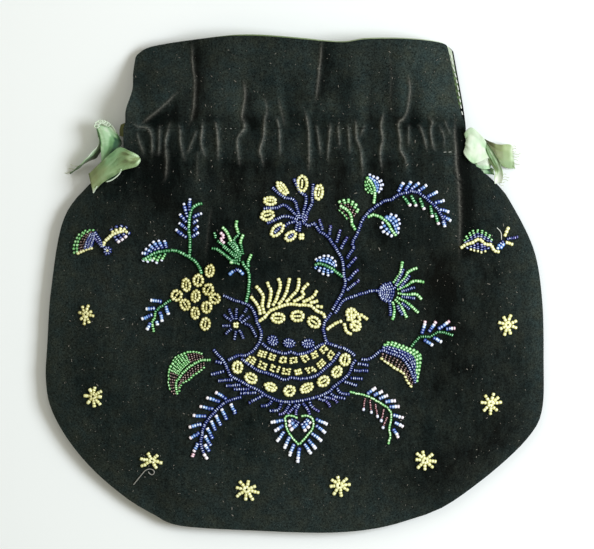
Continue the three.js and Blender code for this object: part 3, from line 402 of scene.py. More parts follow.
def fold_fields(x, y):
    """Folds at points: height, crest lines of rubbed pile with a painted highlight, how far aside of a crest
    line, painted light on the gathers, and painted light and shade.
    """
    height, crest, aside, lit, nap = np.zeros((5, *x.shape))

    def rub_and_light_crest(near, off, side, rubbed_and_lit):
        rubbed_and_lit = rubbed_and_lit * bell(off, CREST_REACH)
        stronger = rubbed_and_lit > crest[near]
        crest[near] = np.where(stronger, rubbed_and_lit, crest[near])
        aside[near] = np.where(stronger, off * np.sign(side), aside[near])

    for i, (rise, width, *course) in enumerate(GATHERS):
        near, off, side, fade = beside(course, x, y, GATHER_REACH)
        height[near] += rise * fade * bell(off, width)
        uneven = 0.8 + 0.3 * np.sin(1.7 * y[near] + 2.4 * i) * np.sin(0.9 * y[near] + i)
        rubbed_and_lit = GATHER_WEAR_AND_HIGHLIGHT * rise**1.5 * uneven
        rub_and_light_crest(near, off, side, rubbed_and_lit * fade)
        lit[near] = np.maximum(lit[near], GATHER_LIGHT * rubbed_and_lit * fade * bell(off, 1.4 * width))
    # A crease has painted light on one side and painted shade on the other
    for rise, width, *course in CREASES:
        near, off, side, fade = beside(course, x, y, CREASE_REACH)
        height[near] += rise * fade * bell(off, width)
        rub_and_light_crest(near, off, side, CREASE_WEAR_AND_HIGHLIGHT * rise * fade * min(1, 0.95 / width))
        crease_light_and_shade = np.where(side < 0, np.exp(side / LIGHT_SIDE_RUN), -np.exp(-side / DARK_SIDE_RUN))
        nap[near] += CREASE_PAINTED_SHADING * rise * fade * crease_light_and_shade
    # Broad painted lights and shades on the velvet
    for strength, width, *course in SHADES:
        near, off, _, _ = beside(course, x, y, SHADE_REACH * width)
        nap[near] += strength * bell(off, width)
    return height, crest, aside, lit, nap


def up_heading(y):
    """Share of the way from the casing to the mouth."""
    return clamp((y - CASING_Y) / HEADING_HEIGHT)


def below_neck(y):
    """How far the gathers still reach, from 1 at the neck to 0 where they have run out."""
    return clamp(1 - (NECK_Y - y) / GATHER_FALL) ** 2


def gather_depth(y):
    """Room that the gathers take up under the level of the bag."""
    return GATHER_DEPTH * np.where(y < NECK_Y, below_neck(y), mix(1, GATHERS_AT_MOUTH, up_heading(y)))


def heading_wave(x, y, deep=False):
    """How far the heading waves inward, more toward the mouth; deep gives the most that it does."""
    depth = HEADING_WAVE * up_heading(y)
    return depth if deep else depth * (0.5 - 0.5 * np.cos(2 * np.pi * x / HEADING_WAVE_PITCH + 1.1))


# Flutes below and above the gathers: height and place across, taken from the gathers
FLUTES = [(rise, chart([course[-2]])[0, 0]) for rise, _, *course in GATHERS]
FLUTE_WIDTH = 2.1
FLUTE_SHARE = 0.55
FLUTE_RUN_UP = 0.7
FLUTE_SHARE_UP = 0.6


def flutes(x, y):
    """Soft folds that run out of the gathers, down into the body and up into the heading."""
    below = below_neck(y) * (y < NECK_Y)
    above = clamp(1 - (y - CASING_Y) / (FLUTE_RUN_UP * HEADING_HEIGHT)) ** 2 * (y > CASING_Y)
    total = np.zeros_like(x)
    for rise, place in FLUTES:
        total += rise * bell(x - place, FLUTE_WIDTH)
    return total * (below + FLUTE_SHARE_UP * above) * FLUTE_SHARE


def draw_in(y):
    """The two rows of casing stitches pull the velvet in."""
    return STITCH_PULL * (bell(y - CASING_Y, STITCH_PULL_WIDTH) + bell(y - NECK_Y, STITCH_PULL_WIDTH))


# How the left edge stands beside the casing and sinks to the table at the mouth: level and height
LEFT_STAND = flowing([
    (45, 0), (57, 1.6), (65, 3.8), (76, 5.2), (84, 4.2), (90, 1.0), (95, -2.0), (100, -4.0), (105, -5.8),
    (113, -6.5),
])
STAND_REACH = 18
SINK_REACH = 56
SINK_LEVELS = (85, 102)
TOP_SINK = 1.3


def near_left(panel, x, y, reach):
    return 1 - smooth(0, reach, x - panel.sides(y)[0])


def left_stand(x, y):
    stand = np.interp(y, LEFT_STAND[:, 0], LEFT_STAND[:, 1])
    return stand * near_left(FRONT, x, y, np.where(stand < 0, SINK_REACH, STAND_REACH))


def front_height(x, y, folds=True):
    """Upper face of the velvet front with its crest lines (rubbed pile with a painted highlight), its painted
    light and shade, and the place aside of a crest.

    Without folds it is the level under all of them, which the lining and the drawstring follow.
    """
    full = FRONT.fullness(x, y)
    opened = SLIT_OPENING * smooth(NECK_Y - SLIT_RUN, NECK_Y, y)
    stand = left_stand(x, y)
    edge = SEAM_LEVEL + SEAM_GAP / 2 + VELVET + opened + stand
    top = mix(BAG_THICKNESS, MOUTH_THICKNESS, up_heading(y)) + TOP_SINK * np.minimum(stand, 0)
    if not folds:
        return edge + (top - edge - heading_wave(x, y, True) - gather_depth(y)) * full - VELVET
    ridge, crest, aside, lit, nap = fold_fields(x, y)
    flute = flutes(x, y)
    casing = smooth(NECK_Y - CASING_BLEND, NECK_Y, y) * (1 - smooth(CASING_Y, CASING_Y + CASING_BLEND, y))
    fading = gather_depth(y) / GATHER_DEPTH * (1 - casing)
    heading = smooth(CASING_Y, CASING_Y + HEADING_BLEND, y)
    # Painted light on gathers and flutes, painted shade between them, painted sheen toward the edge and
    # painted light on the heading
    nap = nap + casing * (PAINTED_LIGHT_ON_GATHERS * lit)
    nap = nap + fading * (PAINTED_LIGHT_ON_FLUTES * flute - PAINTED_SHADE_BETWEEN * (1 - heading))
    nap = nap + PAINTED_SHEEN_AT_EDGE * (1 - full) ** 1.5 + PAINTED_LIGHT_ON_HEADING * heading
    swell = 0.22 * np.sin(x / 17 + 0.6) * np.sin(y / 21 + 1.3) + 0.1 * np.sin(x / 7.3 - y / 9.1)
    pucker = 0.16 * np.sin(x / 1.7 + y / 1.9) * (1 - full)
    height = top - edge - heading_wave(x, y) - gather_depth(y) + ridge + flute - draw_in(y) + swell
    return edge + height * full + pucker, crest, nap, aside


def back_height(x, y, folds=True):
    """Under face of the velvet back, which lies on the table, with its crest lines (rubbed pile with a
    painted highlight) and its painted light and shade.

    Without folds it is the level above all of them, which the lining and the drawstring follow.
    """
    full = BACK.fullness(x, y)
    sunk = smooth(*SINK_LEVELS, y) * near_left(BACK, x, y, SINK_REACH)
    edge = (SEAM_LEVEL - SEAM_GAP / 2 - VELVET) * (1 - full) * (1 - sunk)
    if not folds:
        return edge + gather_depth(y) * full + VELVET
    pitch = NECK_WIDTH / BACK_GATHERS
    fold = 0.5 + 0.5 * np.cos(2 * np.pi * (x / pitch + 0.18 * np.sin(x / 13)))
    ridge = gather_depth(y) * fold**2
    # Painted light on the folds and painted shade between them
    nap = gather_depth(y) / GATHER_DEPTH * (PAINTED_LIGHT_ON_FLUTES * fold - PAINTED_SHADE_BETWEEN)
    return edge + (gather_depth(y) - ridge) * full, clamp(ridge / GATHER_DEPTH) ** 3, nap


class Relief:
    STEP = 0.4
    HALF = 116

    def __init__(self):
        places = np.arange(-self.HALF, self.HALF + 0.1, self.STEP)
        self.z = front_height(*np.meshgrid(places, places))[0]

    def at(self, x, y):
        u = (np.asarray(x) + self.HALF) / self.STEP
        v = (np.asarray(y) + self.HALF) / self.STEP
        i, j = u.astype(int), v.astype(int)
        u, v = u - i, v - j
        z = self.z
        return mix(mix(z[j, i], z[j, i + 1], u), mix(z[j + 1, i], z[j + 1, i + 1], u), v)


RELIEF = Relief()


# Meshes


def piece(name, points, faces, finishes):
    """A named mesh object that rides with the bag; points are in millimetres."""
    mesh = bpy.data.meshes.new(name)
    mesh.from_pydata((np.asarray(points, float) * MM).tolist(), [], [tuple(f) for f in faces])
    mesh.update()
    mesh.polygons.foreach_set("use_smooth", np.ones(len(mesh.polygons), bool))
    for finish in finishes:
        mesh.materials.append(finish)
    made = bpy.data.objects.new(name, mesh)
    bpy.context.scene.collection.objects.link(made)
    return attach(made, "root")


def quads(rows, columns, first=0):
    """Faces of a grid of points, rows from low to high and columns from left to right."""
    i, j = np.meshgrid(np.arange(rows - 1), np.arange(columns - 1), indexing="ij")
    a = (first + i * columns + j).ravel()
    return np.column_stack((a, a + 1, a + columns + 1, a + columns))


def lay_flat(made, places):
    """Gives each point of a piece its place on the flat cloth."""
    corners = np.zeros(len(made.data.loops), np.int32)
    made.data.loops.foreach_get("vertex_index", corners)
    layer = made.data.uv_layers.new(name="flat")
    layer.data.foreach_set("uv", places[corners].astype(np.float32).ravel())


def cloth(name, upper, lower, finish, flat_map=None):
    """A closed sheet between two grids of points; flat_map gives each point its place on the flat cloth."""
    rows, columns = upper.shape[:2]
    count = rows * columns
    rim = np.concatenate((
        np.arange(columns),
        np.arange(1, rows) * columns + columns - 1,
        (rows - 1) * columns + np.arange(columns - 2, -1, -1),
        np.arange(rows - 2, 0, -1) * columns,
    ))
    after = np.roll(rim, -1)
    faces = np.vstack((
        quads(rows, columns),
        quads(rows, columns, count)[:, ::-1],
        np.column_stack((rim + count, after + count, after, rim)),
    ))
    made = piece(name, np.vstack((upper.reshape(-1, 3), lower.reshape(-1, 3))), faces, [finish])
    if flat_map is not None:
        lay_flat(made, np.vstack((flat_map.reshape(-1, 2), flat_map.reshape(-1, 2))))
    return made


def mark(made, name, values):
    """A number for each point of a piece, for its finish to read."""
    layer = made.data.attributes.new(name, "FLOAT", "POINT")
    layer.data.foreach_set("value", np.asarray(values, np.float32).ravel())


def mark_both(made, **marks):
    """The same numbers on both faces of a cloth."""
    for name, values in marks.items():
        mark(made, name, np.stack((values, values)))


def form(make):
    """Points and faces of a small shape that is modelled once, then copied."""
    bpy.ops.object.select_all(action="DESELECT")
    make()
    made = bpy.context.object
    points = np.array([v.co for v in made.data.vertices])
    faces = [tuple(p.vertices) for p in made.data.polygons]
    bpy.data.objects.remove(made, do_unlink=True)
    return points, faces


def draw_rings(low, high, across, lengthwise):
    """Stretches the rings of the bead in hand that lie between two distances from its middle."""
    bpy.ops.object.mode_set(mode="OBJECT")
    mesh = bpy.context.object.data
    for part in (mesh.polygons, mesh.edges):
        part.foreach_set("select", np.zeros(len(part), bool))
    for v in mesh.vertices:
        v.select = low < abs(v.co.z) < high
    bpy.ops.object.mode_set(mode="EDIT")
    bpy.ops.transform.resize(value=(across, across, lengthwise))


def make_bead():
    """A seed bead, its hole along Z: a flattened ball with dimpled ends."""
    bpy.ops.mesh.primitive_uv_sphere_add(segments=8, ring_count=6, radius=0.5)
    bpy.ops.object.mode_set(mode="EDIT")
    bpy.ops.mesh.select_mode(type="VERT")
    bpy.ops.mesh.select_all(action="SELECT")
    bpy.ops.transform.resize(value=(1, 1, 1.06))
    draw_rings(0.5, 1, 1, 0.75)
    draw_rings(0.44, 0.48, 1.3, 1)
    bpy.ops.object.mode_set(mode="OBJECT")


def make_barrel():
    """A larger bead with straighter sides, its hole along Z."""
    make_bead()
    bpy.ops.object.mode_set(mode="EDIT")
    bpy.ops.mesh.select_mode(type="VERT")
    draw_rings(0.25, 0.28, 1.1, 1.1)
    draw_rings(0.44, 0.48, 1.22, 1.04)
    bpy.ops.object.mode_set(mode="OBJECT")


def make_stitch():
    """One stitch of thread along Z, a unit long and thick, with rounded ends."""
    bpy.ops.mesh.primitive_cylinder_add(vertices=6, radius=0.5, depth=0.8, end_fill_type="NGON")
    bpy.ops.object.mode_set(mode="EDIT")
    bpy.ops.mesh.select_mode(type="FACE")
    bpy.ops.object.mode_set(mode="OBJECT")
    for face in bpy.context.object.data.polygons:
        face.select = abs(face.normal.z) > 0.9
    bpy.ops.object.mode_set(mode="EDIT")
    bpy.ops.mesh.inset(thickness=0.2, depth=0.1)
    bpy.ops.object.mode_set(mode="OBJECT")


def make_picot():
    """One loop of thread on a ribbon's edge, drawn out a little, lying flat."""
    bpy.ops.mesh.primitive_torus_add(major_segments=14, minor_segments=5, major_radius=0.4, minor_radius=0.12)
    bpy.ops.transform.resize(value=(0.85, 1.15, 1))
    bpy.ops.object.transform_apply(location=False, rotation=False, scale=True)


def make_ball():
    """A ball, from which a knot is drawn out."""
    bpy.ops.mesh.primitive_uv_sphere_add(segments=40, ring_count=24, radius=0.5)


BEAD = form(make_bead)
BARREL = form(make_barrel)
STITCH = form(make_stitch)
PICOT = form(make_picot)


def turned(direction):
    """Axes whose third one is the given direction."""
    z = direction / np.linalg.norm(direction, axis=1, keepdims=True)
    up = np.where(np.abs(z[:, 2:3]) > 0.9, [[1.0, 0, 0]], [[0, 0, 1.0]])
    x = np.cross(up, z)
    x /= np.linalg.norm(x, axis=1, keepdims=True)
    return np.stack((x, np.cross(z, x), z), axis=2)


def copies(name, shape, places, directions, sizes, finishes, kinds=None, other=None, even=None):
    """Copies of a shape as one piece; a copy whose painted highlight runs evenly along its length takes the
    other form.
    """
    points, faces = shape
    places, directions, sizes = (np.asarray(v, float) for v in (places, directions, sizes))
    count = len(places)
    axes = turned(directions)
    forms = np.repeat(points[None], count, 0)
    glow = np.repeat(clamp(1.02 - (points[:, 2] / points[:, 2].max()) ** 2)[None], count, 0)
    if other is not None:
        forms[even > 0] = other[0]
        glow = mix(even[:, None], 1, glow)
    scaled = forms * sizes[:, None, :]
    moved = np.einsum("nij,npj->npi", axes, scaled) + places[:, None, :]
    all_faces = [tuple(np.array(f) + i * len(points)) for i in range(count) for f in faces]
    made = piece(name, moved.reshape(-1, 3), all_faces, finishes)
    if kinds is not None:
        made.data.polygons.foreach_set("material_index", np.repeat(np.asarray(kinds, np.int32), len(faces)))
    mark(made, "tint", np.repeat(rng.random(count), len(points)))
    # Painted highlight and shade: each bead lighter at its top and toward the middle of its length, darker at
    # its ends and sides
    top = clamp((moved - places[:, None, :])[:, :, 2] / sizes[:, :1] * 2)
    mark(made, "glow", glow * (0.2 + 0.8 * top**1.6))
    return made


def thread(name, line, thickness, finish, sides=6):
    """A round thread along a line of points, closed at both ends."""
    axes = turned(np.gradient(line, axis=0))
    turn = np.linspace(0, 2 * np.pi, sides, endpoint=False)
    ring = np.stack((np.cos(turn), np.sin(turn), np.zeros(sides)), axis=1) * thickness / 2
    points = np.einsum("nij,pj->npi", axes, ring) + line[:, None, :]
    rings = np.arange(len(line) * sides).reshape(-1, sides)
    faces = []
    for ring_below, ring_above in zip(rings, rings[1:]):
        after_below, after_above = np.roll(ring_below, -1), np.roll(ring_above, -1)
        faces += zip(ring_below, after_below, after_above, ring_above)
    faces += [rings[0, ::-1], rings[-1]]
    return piece(name, points.reshape(-1, 3), faces, [finish])


# Finishes


class Socket:
    """One output of a shader node, with arithmetic that adds Math nodes."""

    def __init__(self, finish, link):
        self.finish = finish
        self.link = link

    def math(self, operation, a, b=0.0):
        return self.finish.node("ShaderNodeMath", {"operation": operation}, {0: a, 1: b})

    def __add__(self, other):
        return self.math("ADD", self, other)

    def __sub__(self, other):
        return self.math("SUBTRACT", self, other)

    def __rsub__(self, other):
        return self.math("SUBTRACT", other, self)

    def __mul__(self, other):
        return self.math("MULTIPLY", self, other)

    def __pow__(self, other):
        return self.math("POWER", self, other)

    __radd__ = __add__
    __rmul__ = __mul__


class Finish:
    """A material made of nodes round one shader."""

    def __init__(self, name, **fixed):
        self.material = bpy.data.materials.new(name)
        self.material.use_nodes = True
        self.tree = self.material.node_tree
        self.shader = self.tree.nodes["Principled BSDF"]
        for key, value in fixed.items():
            self.shader.inputs[key.replace("_", " ")].default_value = value

    def node(self, kind, settings=None, sockets=None, output=0):
        made = self.tree.nodes.new(kind)
        for key, value in (settings or {}).items():
            if key == "stops":
                self.stops(made.color_ramp, value)
            else:
                setattr(made, key, value)
        for key, value in (sockets or {}).items():
            self.feed(made.inputs[key], value)
        return Socket(self, made.outputs[output])

    def stops(self, ramp, stops):
        while len(ramp.elements) < len(stops):
            ramp.elements.new(0.5)
        for element, (place, colour) in zip(ramp.elements, stops):
            element.position = place
            element.color = (*colour, 1)

    def feed(self, socket, value):
        if isinstance(value, Socket):
            self.tree.links.new(value.link, socket)
        else:
            socket.default_value = value

    def shade(self, **inputs):
        for key, value in inputs.items():
            self.feed(self.shader.inputs[key.replace("_", " ")], value)

    def place(self):
        return self.node("ShaderNodeTexCoord", output=3)

    def flat(self):
        return self.node("ShaderNodeUVMap", {"uv_map": "flat"})

    def stretched(self, vector, scale):
        return self.node("ShaderNodeMapping", {}, {"Vector": vector, "Scale": scale})

    def noise(self, vector, scale, detail=2.0, rough=0.5):
        return self.node(
            "ShaderNodeTexNoise", {}, {"Vector": vector, "Scale": scale, "Detail": detail, "Roughness": rough}
        )

    def number(self, name):
        return self.node("ShaderNodeAttribute", {"attribute_name": name}, output=2)

    def ramp(self, value, *stops):
        return self.node("ShaderNodeValToRGB", {"stops": stops}, {0: value})

    def blend(self, share, a, b, how="MIX"):
        a, b = (v if isinstance(v, Socket) else (*v, 1) for v in (a, b))
        return self.node(
            "ShaderNodeMix",
            {"data_type": "RGBA", "blend_type": how, "clamp_factor": True},
            {0: share, 6: a, 7: b},
            output=2,
        )

    def bump(self, height, distance, strength):
        return self.node("ShaderNodeBump", {}, {"Height": height, "Distance": distance, "Strength": strength})


def velvet_finish():
    """Black velvet: uneven pile, painted light and shade over folds, edges and heading, and grey crest lines
    of rubbed pile with a painted highlight.
    """
    f = Finish(
        "black_velvet",
        Sheen_Weight=0.05,
        Sheen_Roughness=0.34,
        Sheen_Tint=(0.66, 0.86, 0.86, 1),
        Specular_IOR_Level=0.06,
    )
    place = f.place()
    patches = f.noise(place, 30, 3)
    pile = f.noise(place, 1300, 4, 0.75)
    tufts = f.noise(f.stretched(place, (420, 150, 420)), 1, 3, 0.6)
    # Painted shade and painted light: a shaded tone and a lit tone, mixed by the painted shading with random
    # pile and patches
    hollow = f.ramp(patches, (0.35, (0.0012, 0.0030, 0.0026)), (0.65, (0.0030, 0.0034, 0.0026)))
    blotches = f.noise(place, 150, 3, 0.6)
    lit = f.ramp(
        blotches,
        (0.34, (0.0232, 0.0366, 0.0354)),
        (0.5, (0.0262, 0.0361, 0.0320)),
        (0.66, (0.0292, 0.0362, 0.0288)),
    )
    shading_and_pile = 0.325 + 0.4 * f.number("nap") + 0.6 * (tufts - 0.5) + 0.4 * (patches - 0.5) + 0.4 * (blotches - 0.5)
    tone = f.blend(shading_and_pile, hollow, lit)
    aside = f.number("aside")
    line = (1 + CREST_SHARPNESS * aside * aside) ** -1.5
    crest = f.number("crest") * (0.3 + 0.7 * line) * (0.25 + 0.65 * tufts)
    # Crest lines in light grey: rubbed pile that also carries a painted highlight
    rubbed_and_lit = f.blend(crest, tone, (0.156, 0.152, 0.133))
    speckle = f.ramp(pile, (0.32, (0.1, 0.1, 0.1)), (0.72, (2.1, 2.1, 2.1)))
    grain = f.blend(0.95 - 0.55 * crest, rubbed_and_lit, speckle, "MULTIPLY")
    f.shade(
        Base_Color=grain,
        Roughness=0.78 + 0.2 * pile,
        Normal=f.bump(pile + 0.7 * tufts, 0.00045, 0.8),
    )
    return f.material


def silk_finish(name, cool, warm, ribs, relief):
    """Ribbed silk, its fine ribs across the length, marked with painted light and shade and with its
    yellowing.
    """
    f = Finish(name, Sheen_Weight=0.2, Sheen_Roughness=0.3, Sheen_Tint=(0.9, 1, 0.9, 1))
    flat = f.flat()
    rib = f.node(
        "ShaderNodeTexWave",
        {"wave_type": "BANDS", "bands_direction": "X"},
        {"Vector": flat, "Scale": ribs, "Distortion": 0.6, "Detail": 2.0, "Detail Scale": 1.5},
    )
    wander = f.noise(flat, 0.3, 3)
    slub = f.noise(f.stretched(flat, (3.5, 0.25, 1)), 1, 2)
    light = f.number("light") + (wander - 0.5) * 0.16
    tone = f.blend(f.number("warm"), f.ramp(light, *cool), f.ramp(light, *warm))
    lined = f.blend(0.3 * rib + 0.25 * slub, tone, (0.9, 0.94, 0.84), "MULTIPLY")
    f.shade(
        Base_Color=lined,
        Roughness=0.34 + 0.2 * slub,
        Normal=f.bump(rib + 0.4 * slub, relief, 0.7),
    )
    return f.material


def thread_finish(name, colour):
    """Dull twisted thread."""
    f = Finish(name, Roughness=0.7, Specular_IOR_Level=0.15)
    place = f.place()
    twist = f.noise(place, 2600, 2)
    f.shade(
        Base_Color=f.blend(twist, tuple(0.6 * c for c in colour), colour),
        Normal=f.bump(twist, 0.0001, 0.6),
    )
    return f.material


def bead_finish(name, deep, body, glint, spark):
    """Glass bead: its colour differs a little from bead to bead; it runs from painted shade through its body
    colour to a painted glint, which begins at the spark.
    """
    f = Finish(name, IOR=1.52, Coat_Roughness=0.06)
    cloud = f.noise(f.place(), 1100, 2)
    share = f.number("glow") * (0.78 + 0.34 * f.number("tint")) + 0.12 * (cloud - 0.5)
    f.shade(
        Base_Color=f.ramp(share, (0.08, deep), (0.42, body), (spark, body), (spark + 0.3, glint)),
        Roughness=0.22 + 0.12 * cloud,
        Coat_Weight=0.65 + 0.15 * cloud,
        Normal=f.bump(cloud, 0.00006, 0.5),
    )
    return f.material


velvet = velvet_finish()
lining_silk = silk_finish(
    "green_lining_silk",
    (
        (0.0, (0.02, 0.045, 0.012)), (0.35, (0.08, 0.15, 0.045)),
        (0.65, (0.22, 0.32, 0.16)), (1.0, (0.66, 0.74, 0.60)),
    ),
    (
        (0.0, (0.028, 0.030, 0.004)), (0.35, (0.10, 0.105, 0.014)),
        (0.65, (0.24, 0.25, 0.06)), (1.0, (0.6, 0.6, 0.3)),
    ),
    ribs=0.9,
    relief=0.00005,
)
ribbon_silk = silk_finish(
    "green_ribbon_silk",
    (
        (0.0, (0.008, 0.030, 0.012)), (0.2, (0.026, 0.105, 0.050)), (0.4, (0.11, 0.25, 0.10)),
        (0.6, (0.22, 0.42, 0.21)), (0.8, (0.46, 0.66, 0.43)), (1.0, (0.88, 0.88, 0.83)),
    ),
    (
        (0.0, (0.024, 0.020, 0.007)), (0.2, (0.070, 0.068, 0.022)), (0.4, (0.165, 0.195, 0.075)),
        (0.6, (0.29, 0.35, 0.155)), (0.8, (0.50, 0.59, 0.34)), (1.0, (0.95, 0.97, 0.88)),
    ),
    ribs=0.55,
    relief=0.00012,
)
dark_thread = thread_finish("dark_thread", (0.010, 0.012, 0.011))
white_thread = thread_finish("white_thread", (0.82, 0.84, 0.76))
edge_thread = thread_finish("ribbon_edge_thread", (0.80, 0.92, 0.74))
frayed_thread = thread_finish("frayed_silk", (0.60, 0.66, 0.46))
grey_thread = thread_finish("grey_thread", (0.40, 0.39, 0.355))
lint_thread = thread_finish("lint", (0.225, 0.210, 0.180))

# Glass: its painted shade at the ends and sides, its body colour, its painted glint, and the share at which
# the glint begins
GLASS = {
    "royal_blue": ((0.006, 0.014, 0.130), (0.014, 0.031, 0.21), (0.80, 0.89, 1.0), 0.61),
    "bright_blue": ((0.009, 0.024, 0.19), (0.028, 0.070, 0.36), (0.78, 0.91, 1.0), 0.62),
    "dull_blue": ((0.006, 0.012, 0.100), (0.016, 0.028, 0.160), (0.60, 0.70, 0.95), 0.62),
    "light_blue": ((0.020, 0.055, 0.26), (0.12, 0.28, 0.68), (0.88, 0.96, 1.0), 0.6),
    "white": ((0.40, 0.44, 0.75), (0.84, 0.87, 1.0), (1.0, 1.0, 1.0), 0.55),
    "yellow": ((0.33, 0.29, 0.06), (0.76, 0.735, 0.30), (0.92, 0.92, 0.60), 0.55),
    "old_gold": ((0.14, 0.115, 0.022), (0.46, 0.42, 0.125), (0.88, 0.84, 0.45), 0.55),
    "green": ((0.005, 0.055, 0.014), (0.020, 0.205, 0.052), (0.48, 0.90, 0.54), 0.62),
    "pale_green": ((0.03, 0.16, 0.035), (0.20, 0.58, 0.18), (0.80, 0.97, 0.68), 0.6),
    "red_brown": ((0.014, 0.005, 0.006), (0.055, 0.020, 0.020), (0.58, 0.40, 0.37), 0.58),
    "rose": ((0.06, 0.016, 0.021), (0.33, 0.115, 0.135), (0.84, 0.60, 0.64), 0.58),
    "pink": ((0.30, 0.12, 0.18), (0.78, 0.48, 0.58), (1.0, 0.88, 0.94), 0.55),
    "blush": ((0.46, 0.34, 0.44), (0.88, 0.78, 0.86), (1.0, 0.98, 1.0), 0.55),
    "violet": ((0.015, 0.014, 0.125), (0.052, 0.050, 0.28), (0.75, 0.75, 1.0), 0.62),
}
# Beads: glass, width, and length along the thread
BEAD_KINDS = {
    "B": ("royal_blue", 1.74, 1.0),
    "b": ("bright_blue", 1.8, 1.05),
    "D": ("dull_blue", 1.6, 0.94),
    "L": ("light_blue", 1.72, 1.12),
    "l": ("light_blue", 1.54, 1.15),
    "W": ("white", 1.68, 1.3),
    "w": ("white", 1.46, 1.2),
    "N": ("blush", 1.66, 1.3),
    "Y": ("yellow", 1.68, 1.34),
    "y": ("yellow", 1.44, 1.3),
    "k": ("yellow", 1.5, 1.2),
    "j": ("yellow", 1.1, 1.15),
    "O": ("old_gold", 1.58, 1.3),
    "o": ("old_gold", 1.36, 1.25),
    "h": ("old_gold", 1.05, 1.1),
    "G": ("green", 1.46, 0.98),
    "S": ("green", 1.62, 1.1),
    "M": ("pale_green", 1.52, 1.1),
    "m": ("pale_green", 1.34, 1.0),
    "g": ("pale_green", 1.1, 0.9),
    "t": ("pale_green", 1.1, 1.2),
    "R": ("red_brown", 1.1, 0.88),
    "r": ("red_brown", 0.88, 0.8),
    "q": ("rose", 0.86, 0.8),
    "P": ("pink", 1.6, 1.1),
    "V": ("violet", 1.52, 1.0),
}
# Beads with straight sides, and how evenly their painted highlight runs along their length
BARRELS = {
    **dict.fromkeys("YyjOohWN", 0.7),
    **dict.fromkeys("LPM", 0.45),
    **dict.fromkeys("bS", 0.3),
    "t": 0.8,
}
GLASS_ORDER = list(GLASS)
bead_finishes = [bead_finish(f"{name}_glass", *GLASS[name]) for name in GLASS_ORDER]
# How a bead stands on the velvet, and how far single beads differ in place, width and length
BEAD_SINK = 0.36
BEAD_SHIFT = 0.07
BEAD_WIDTHS = (0.93, 1.06)
BEAD_LENGTHS = (0.97, 1.09)
STRAND_POINTS = 80


# Strands of beads: each is a row of kinds, spread from its foot to its tip, and a course on the chart


def run(kinds, *course):
    """One strand along a course."""
    return [(kinds, course)]


def spikes(kinds, *ends):
    """Straight strands, each given as foot and tip."""
    return [(kinds, ((a, b), (c, d))) for a, b, c, d in ends]


def ribs(kinds, foot, tips, count):
    """Strands side by side between two lines."""
    low = along(flowing(foot), np.linspace(0, 1, count))
    high = along(flowing(tips), np.linspace(0, 1, count))
    return [(kinds, (tuple(a), tuple(b))) for a, b in zip(low, high)]


def fan(kinds, foot, *tips):
    """Strands from one line to given tips."""
    low = along(flowing(foot), np.linspace(0, 1, len(tips)))
    return [(kinds, (tuple(a), b)) for a, b in zip(low, tips)]


def oval(kinds, x, y, half_x, half_y, turn=0, bar="j", share=0.5):
    """A ring of beads laid round a short bar; the half sizes are those of its outer edge."""
    edge = BEAD_KINDS[kinds[0]][1] / 2 / SQUARE
    angle = np.linspace(0, 2 * np.pi, 25)
    px = np.cos(angle) * (half_x - edge)
    py = np.sin(angle) * (half_y - edge)
    t = math.radians(turn)
    c, s = math.cos(t), math.sin(t)
    ring = [(x + a * c - b * s, y + a * s + b * c) for a, b in zip(px, py)]
    strands = [(kinds, tuple(ring))]
    if bar:
        t = t if half_x >= half_y else t + math.pi / 2
        reach = max(half_x, half_y) * share
        dx, dy = reach * math.cos(t), reach * math.sin(t)
        strands.append((bar, ((x - dx, y - dy), (x + dx, y + dy))))
    return strands


RING_STEP = 2.6


def filled_oval(x, y, half_x, half_y, turn):
    """A ring of small blue beads with a smaller ring inside it."""
    inner = (half_x - RING_STEP, half_y - RING_STEP)
    return oval("B", x, y, half_x, half_y, turn, None) + oval("B", x, y, *inner, turn, None)


STAR_EYE = 0.08


def star(kinds, x, y, *tips):
    """Short petals that meet in the middle; the tips are counted from there."""
    return [(kinds, ((x + STAR_EYE * a, y + STAR_EYE * b), (x + a, y + b))) for a, b in tips]


# Strands of a block: at what shares of its width, and from where to where across the row
BLOCK_STEPS = (-0.25, 0, 0.25)
WHOLE_STRAND = ((-3.8, 3.8),)
SPLIT_STRAND = ((-3.7, -1.2), (1.2, 3.7))


def blocks(course, count):
    """Square blocks in a row, each of three short strands across the row, none quite alike."""
    line = flowing(course)
    strands = []
    for i in range(count):
        size = rng.uniform(0.84, 1.0)
        lean = rng.normal(0, 0.2)
        hollow = rng.random() < 0.7
        for step in BLOCK_STEPS:
            share = (i + 0.5 + step * size) / count
            a, b = along(line, [max(share - 0.02, 0), min(share + 0.02, 1)])
            middle = along(line, share)
            normal = np.array((a[1] - b[1], b[0] - a[0])) / np.linalg.norm(b - a)
            normal = normal + lean * np.array((-normal[1], normal[0]))
            for span in SPLIT_STRAND if hollow and not step else WHOLE_STRAND:
                shift = rng.normal(0, 0.45, 2)
                ends = tuple(tuple(middle + shift + size * reach * normal) for reach in span)
                strands.append(("k", ends))
    return strands


# Rings of the grapes and of the basket's bowl: middle, half sizes and turn
GRAPES = [
    (210, 271, 5.4, 7.2, 12), (198.3, 280.3, 6, 7, 5), (186.5, 285, 5.2, 7.6, -4), (208.5, 289.5, 6, 6.8, 30),
    (176.8, 295.3, 6.4, 6.6, 40), (195.9, 296, 5.4, 7.2, 8), (215, 298.5, 6.2, 6.2, 35),
    (185.2, 304.5, 5.6, 7, -30), (206.8, 307.2, 6, 6.8, 0), (195.3, 313, 5, 7, -5),
    (205.4, 323.9, 5.8, 7.2, 8),
]
BOWL_RINGS = [
    (237.7, 367, 6, 7.2, 0), (251, 378, 7.3, 5.9, 30), (270.7, 386.8, 7.3, 5.2, 22),
    (289.4, 390.6, 6.8, 6.2, -20), (306.6, 387.7, 7.8, 5.4, -28), (323.3, 381, 7.3, 5.9, -30),
    (336.7, 371.5, 7, 5.8, -50), (344.8, 359.5, 6.2, 6.9, 10),
]
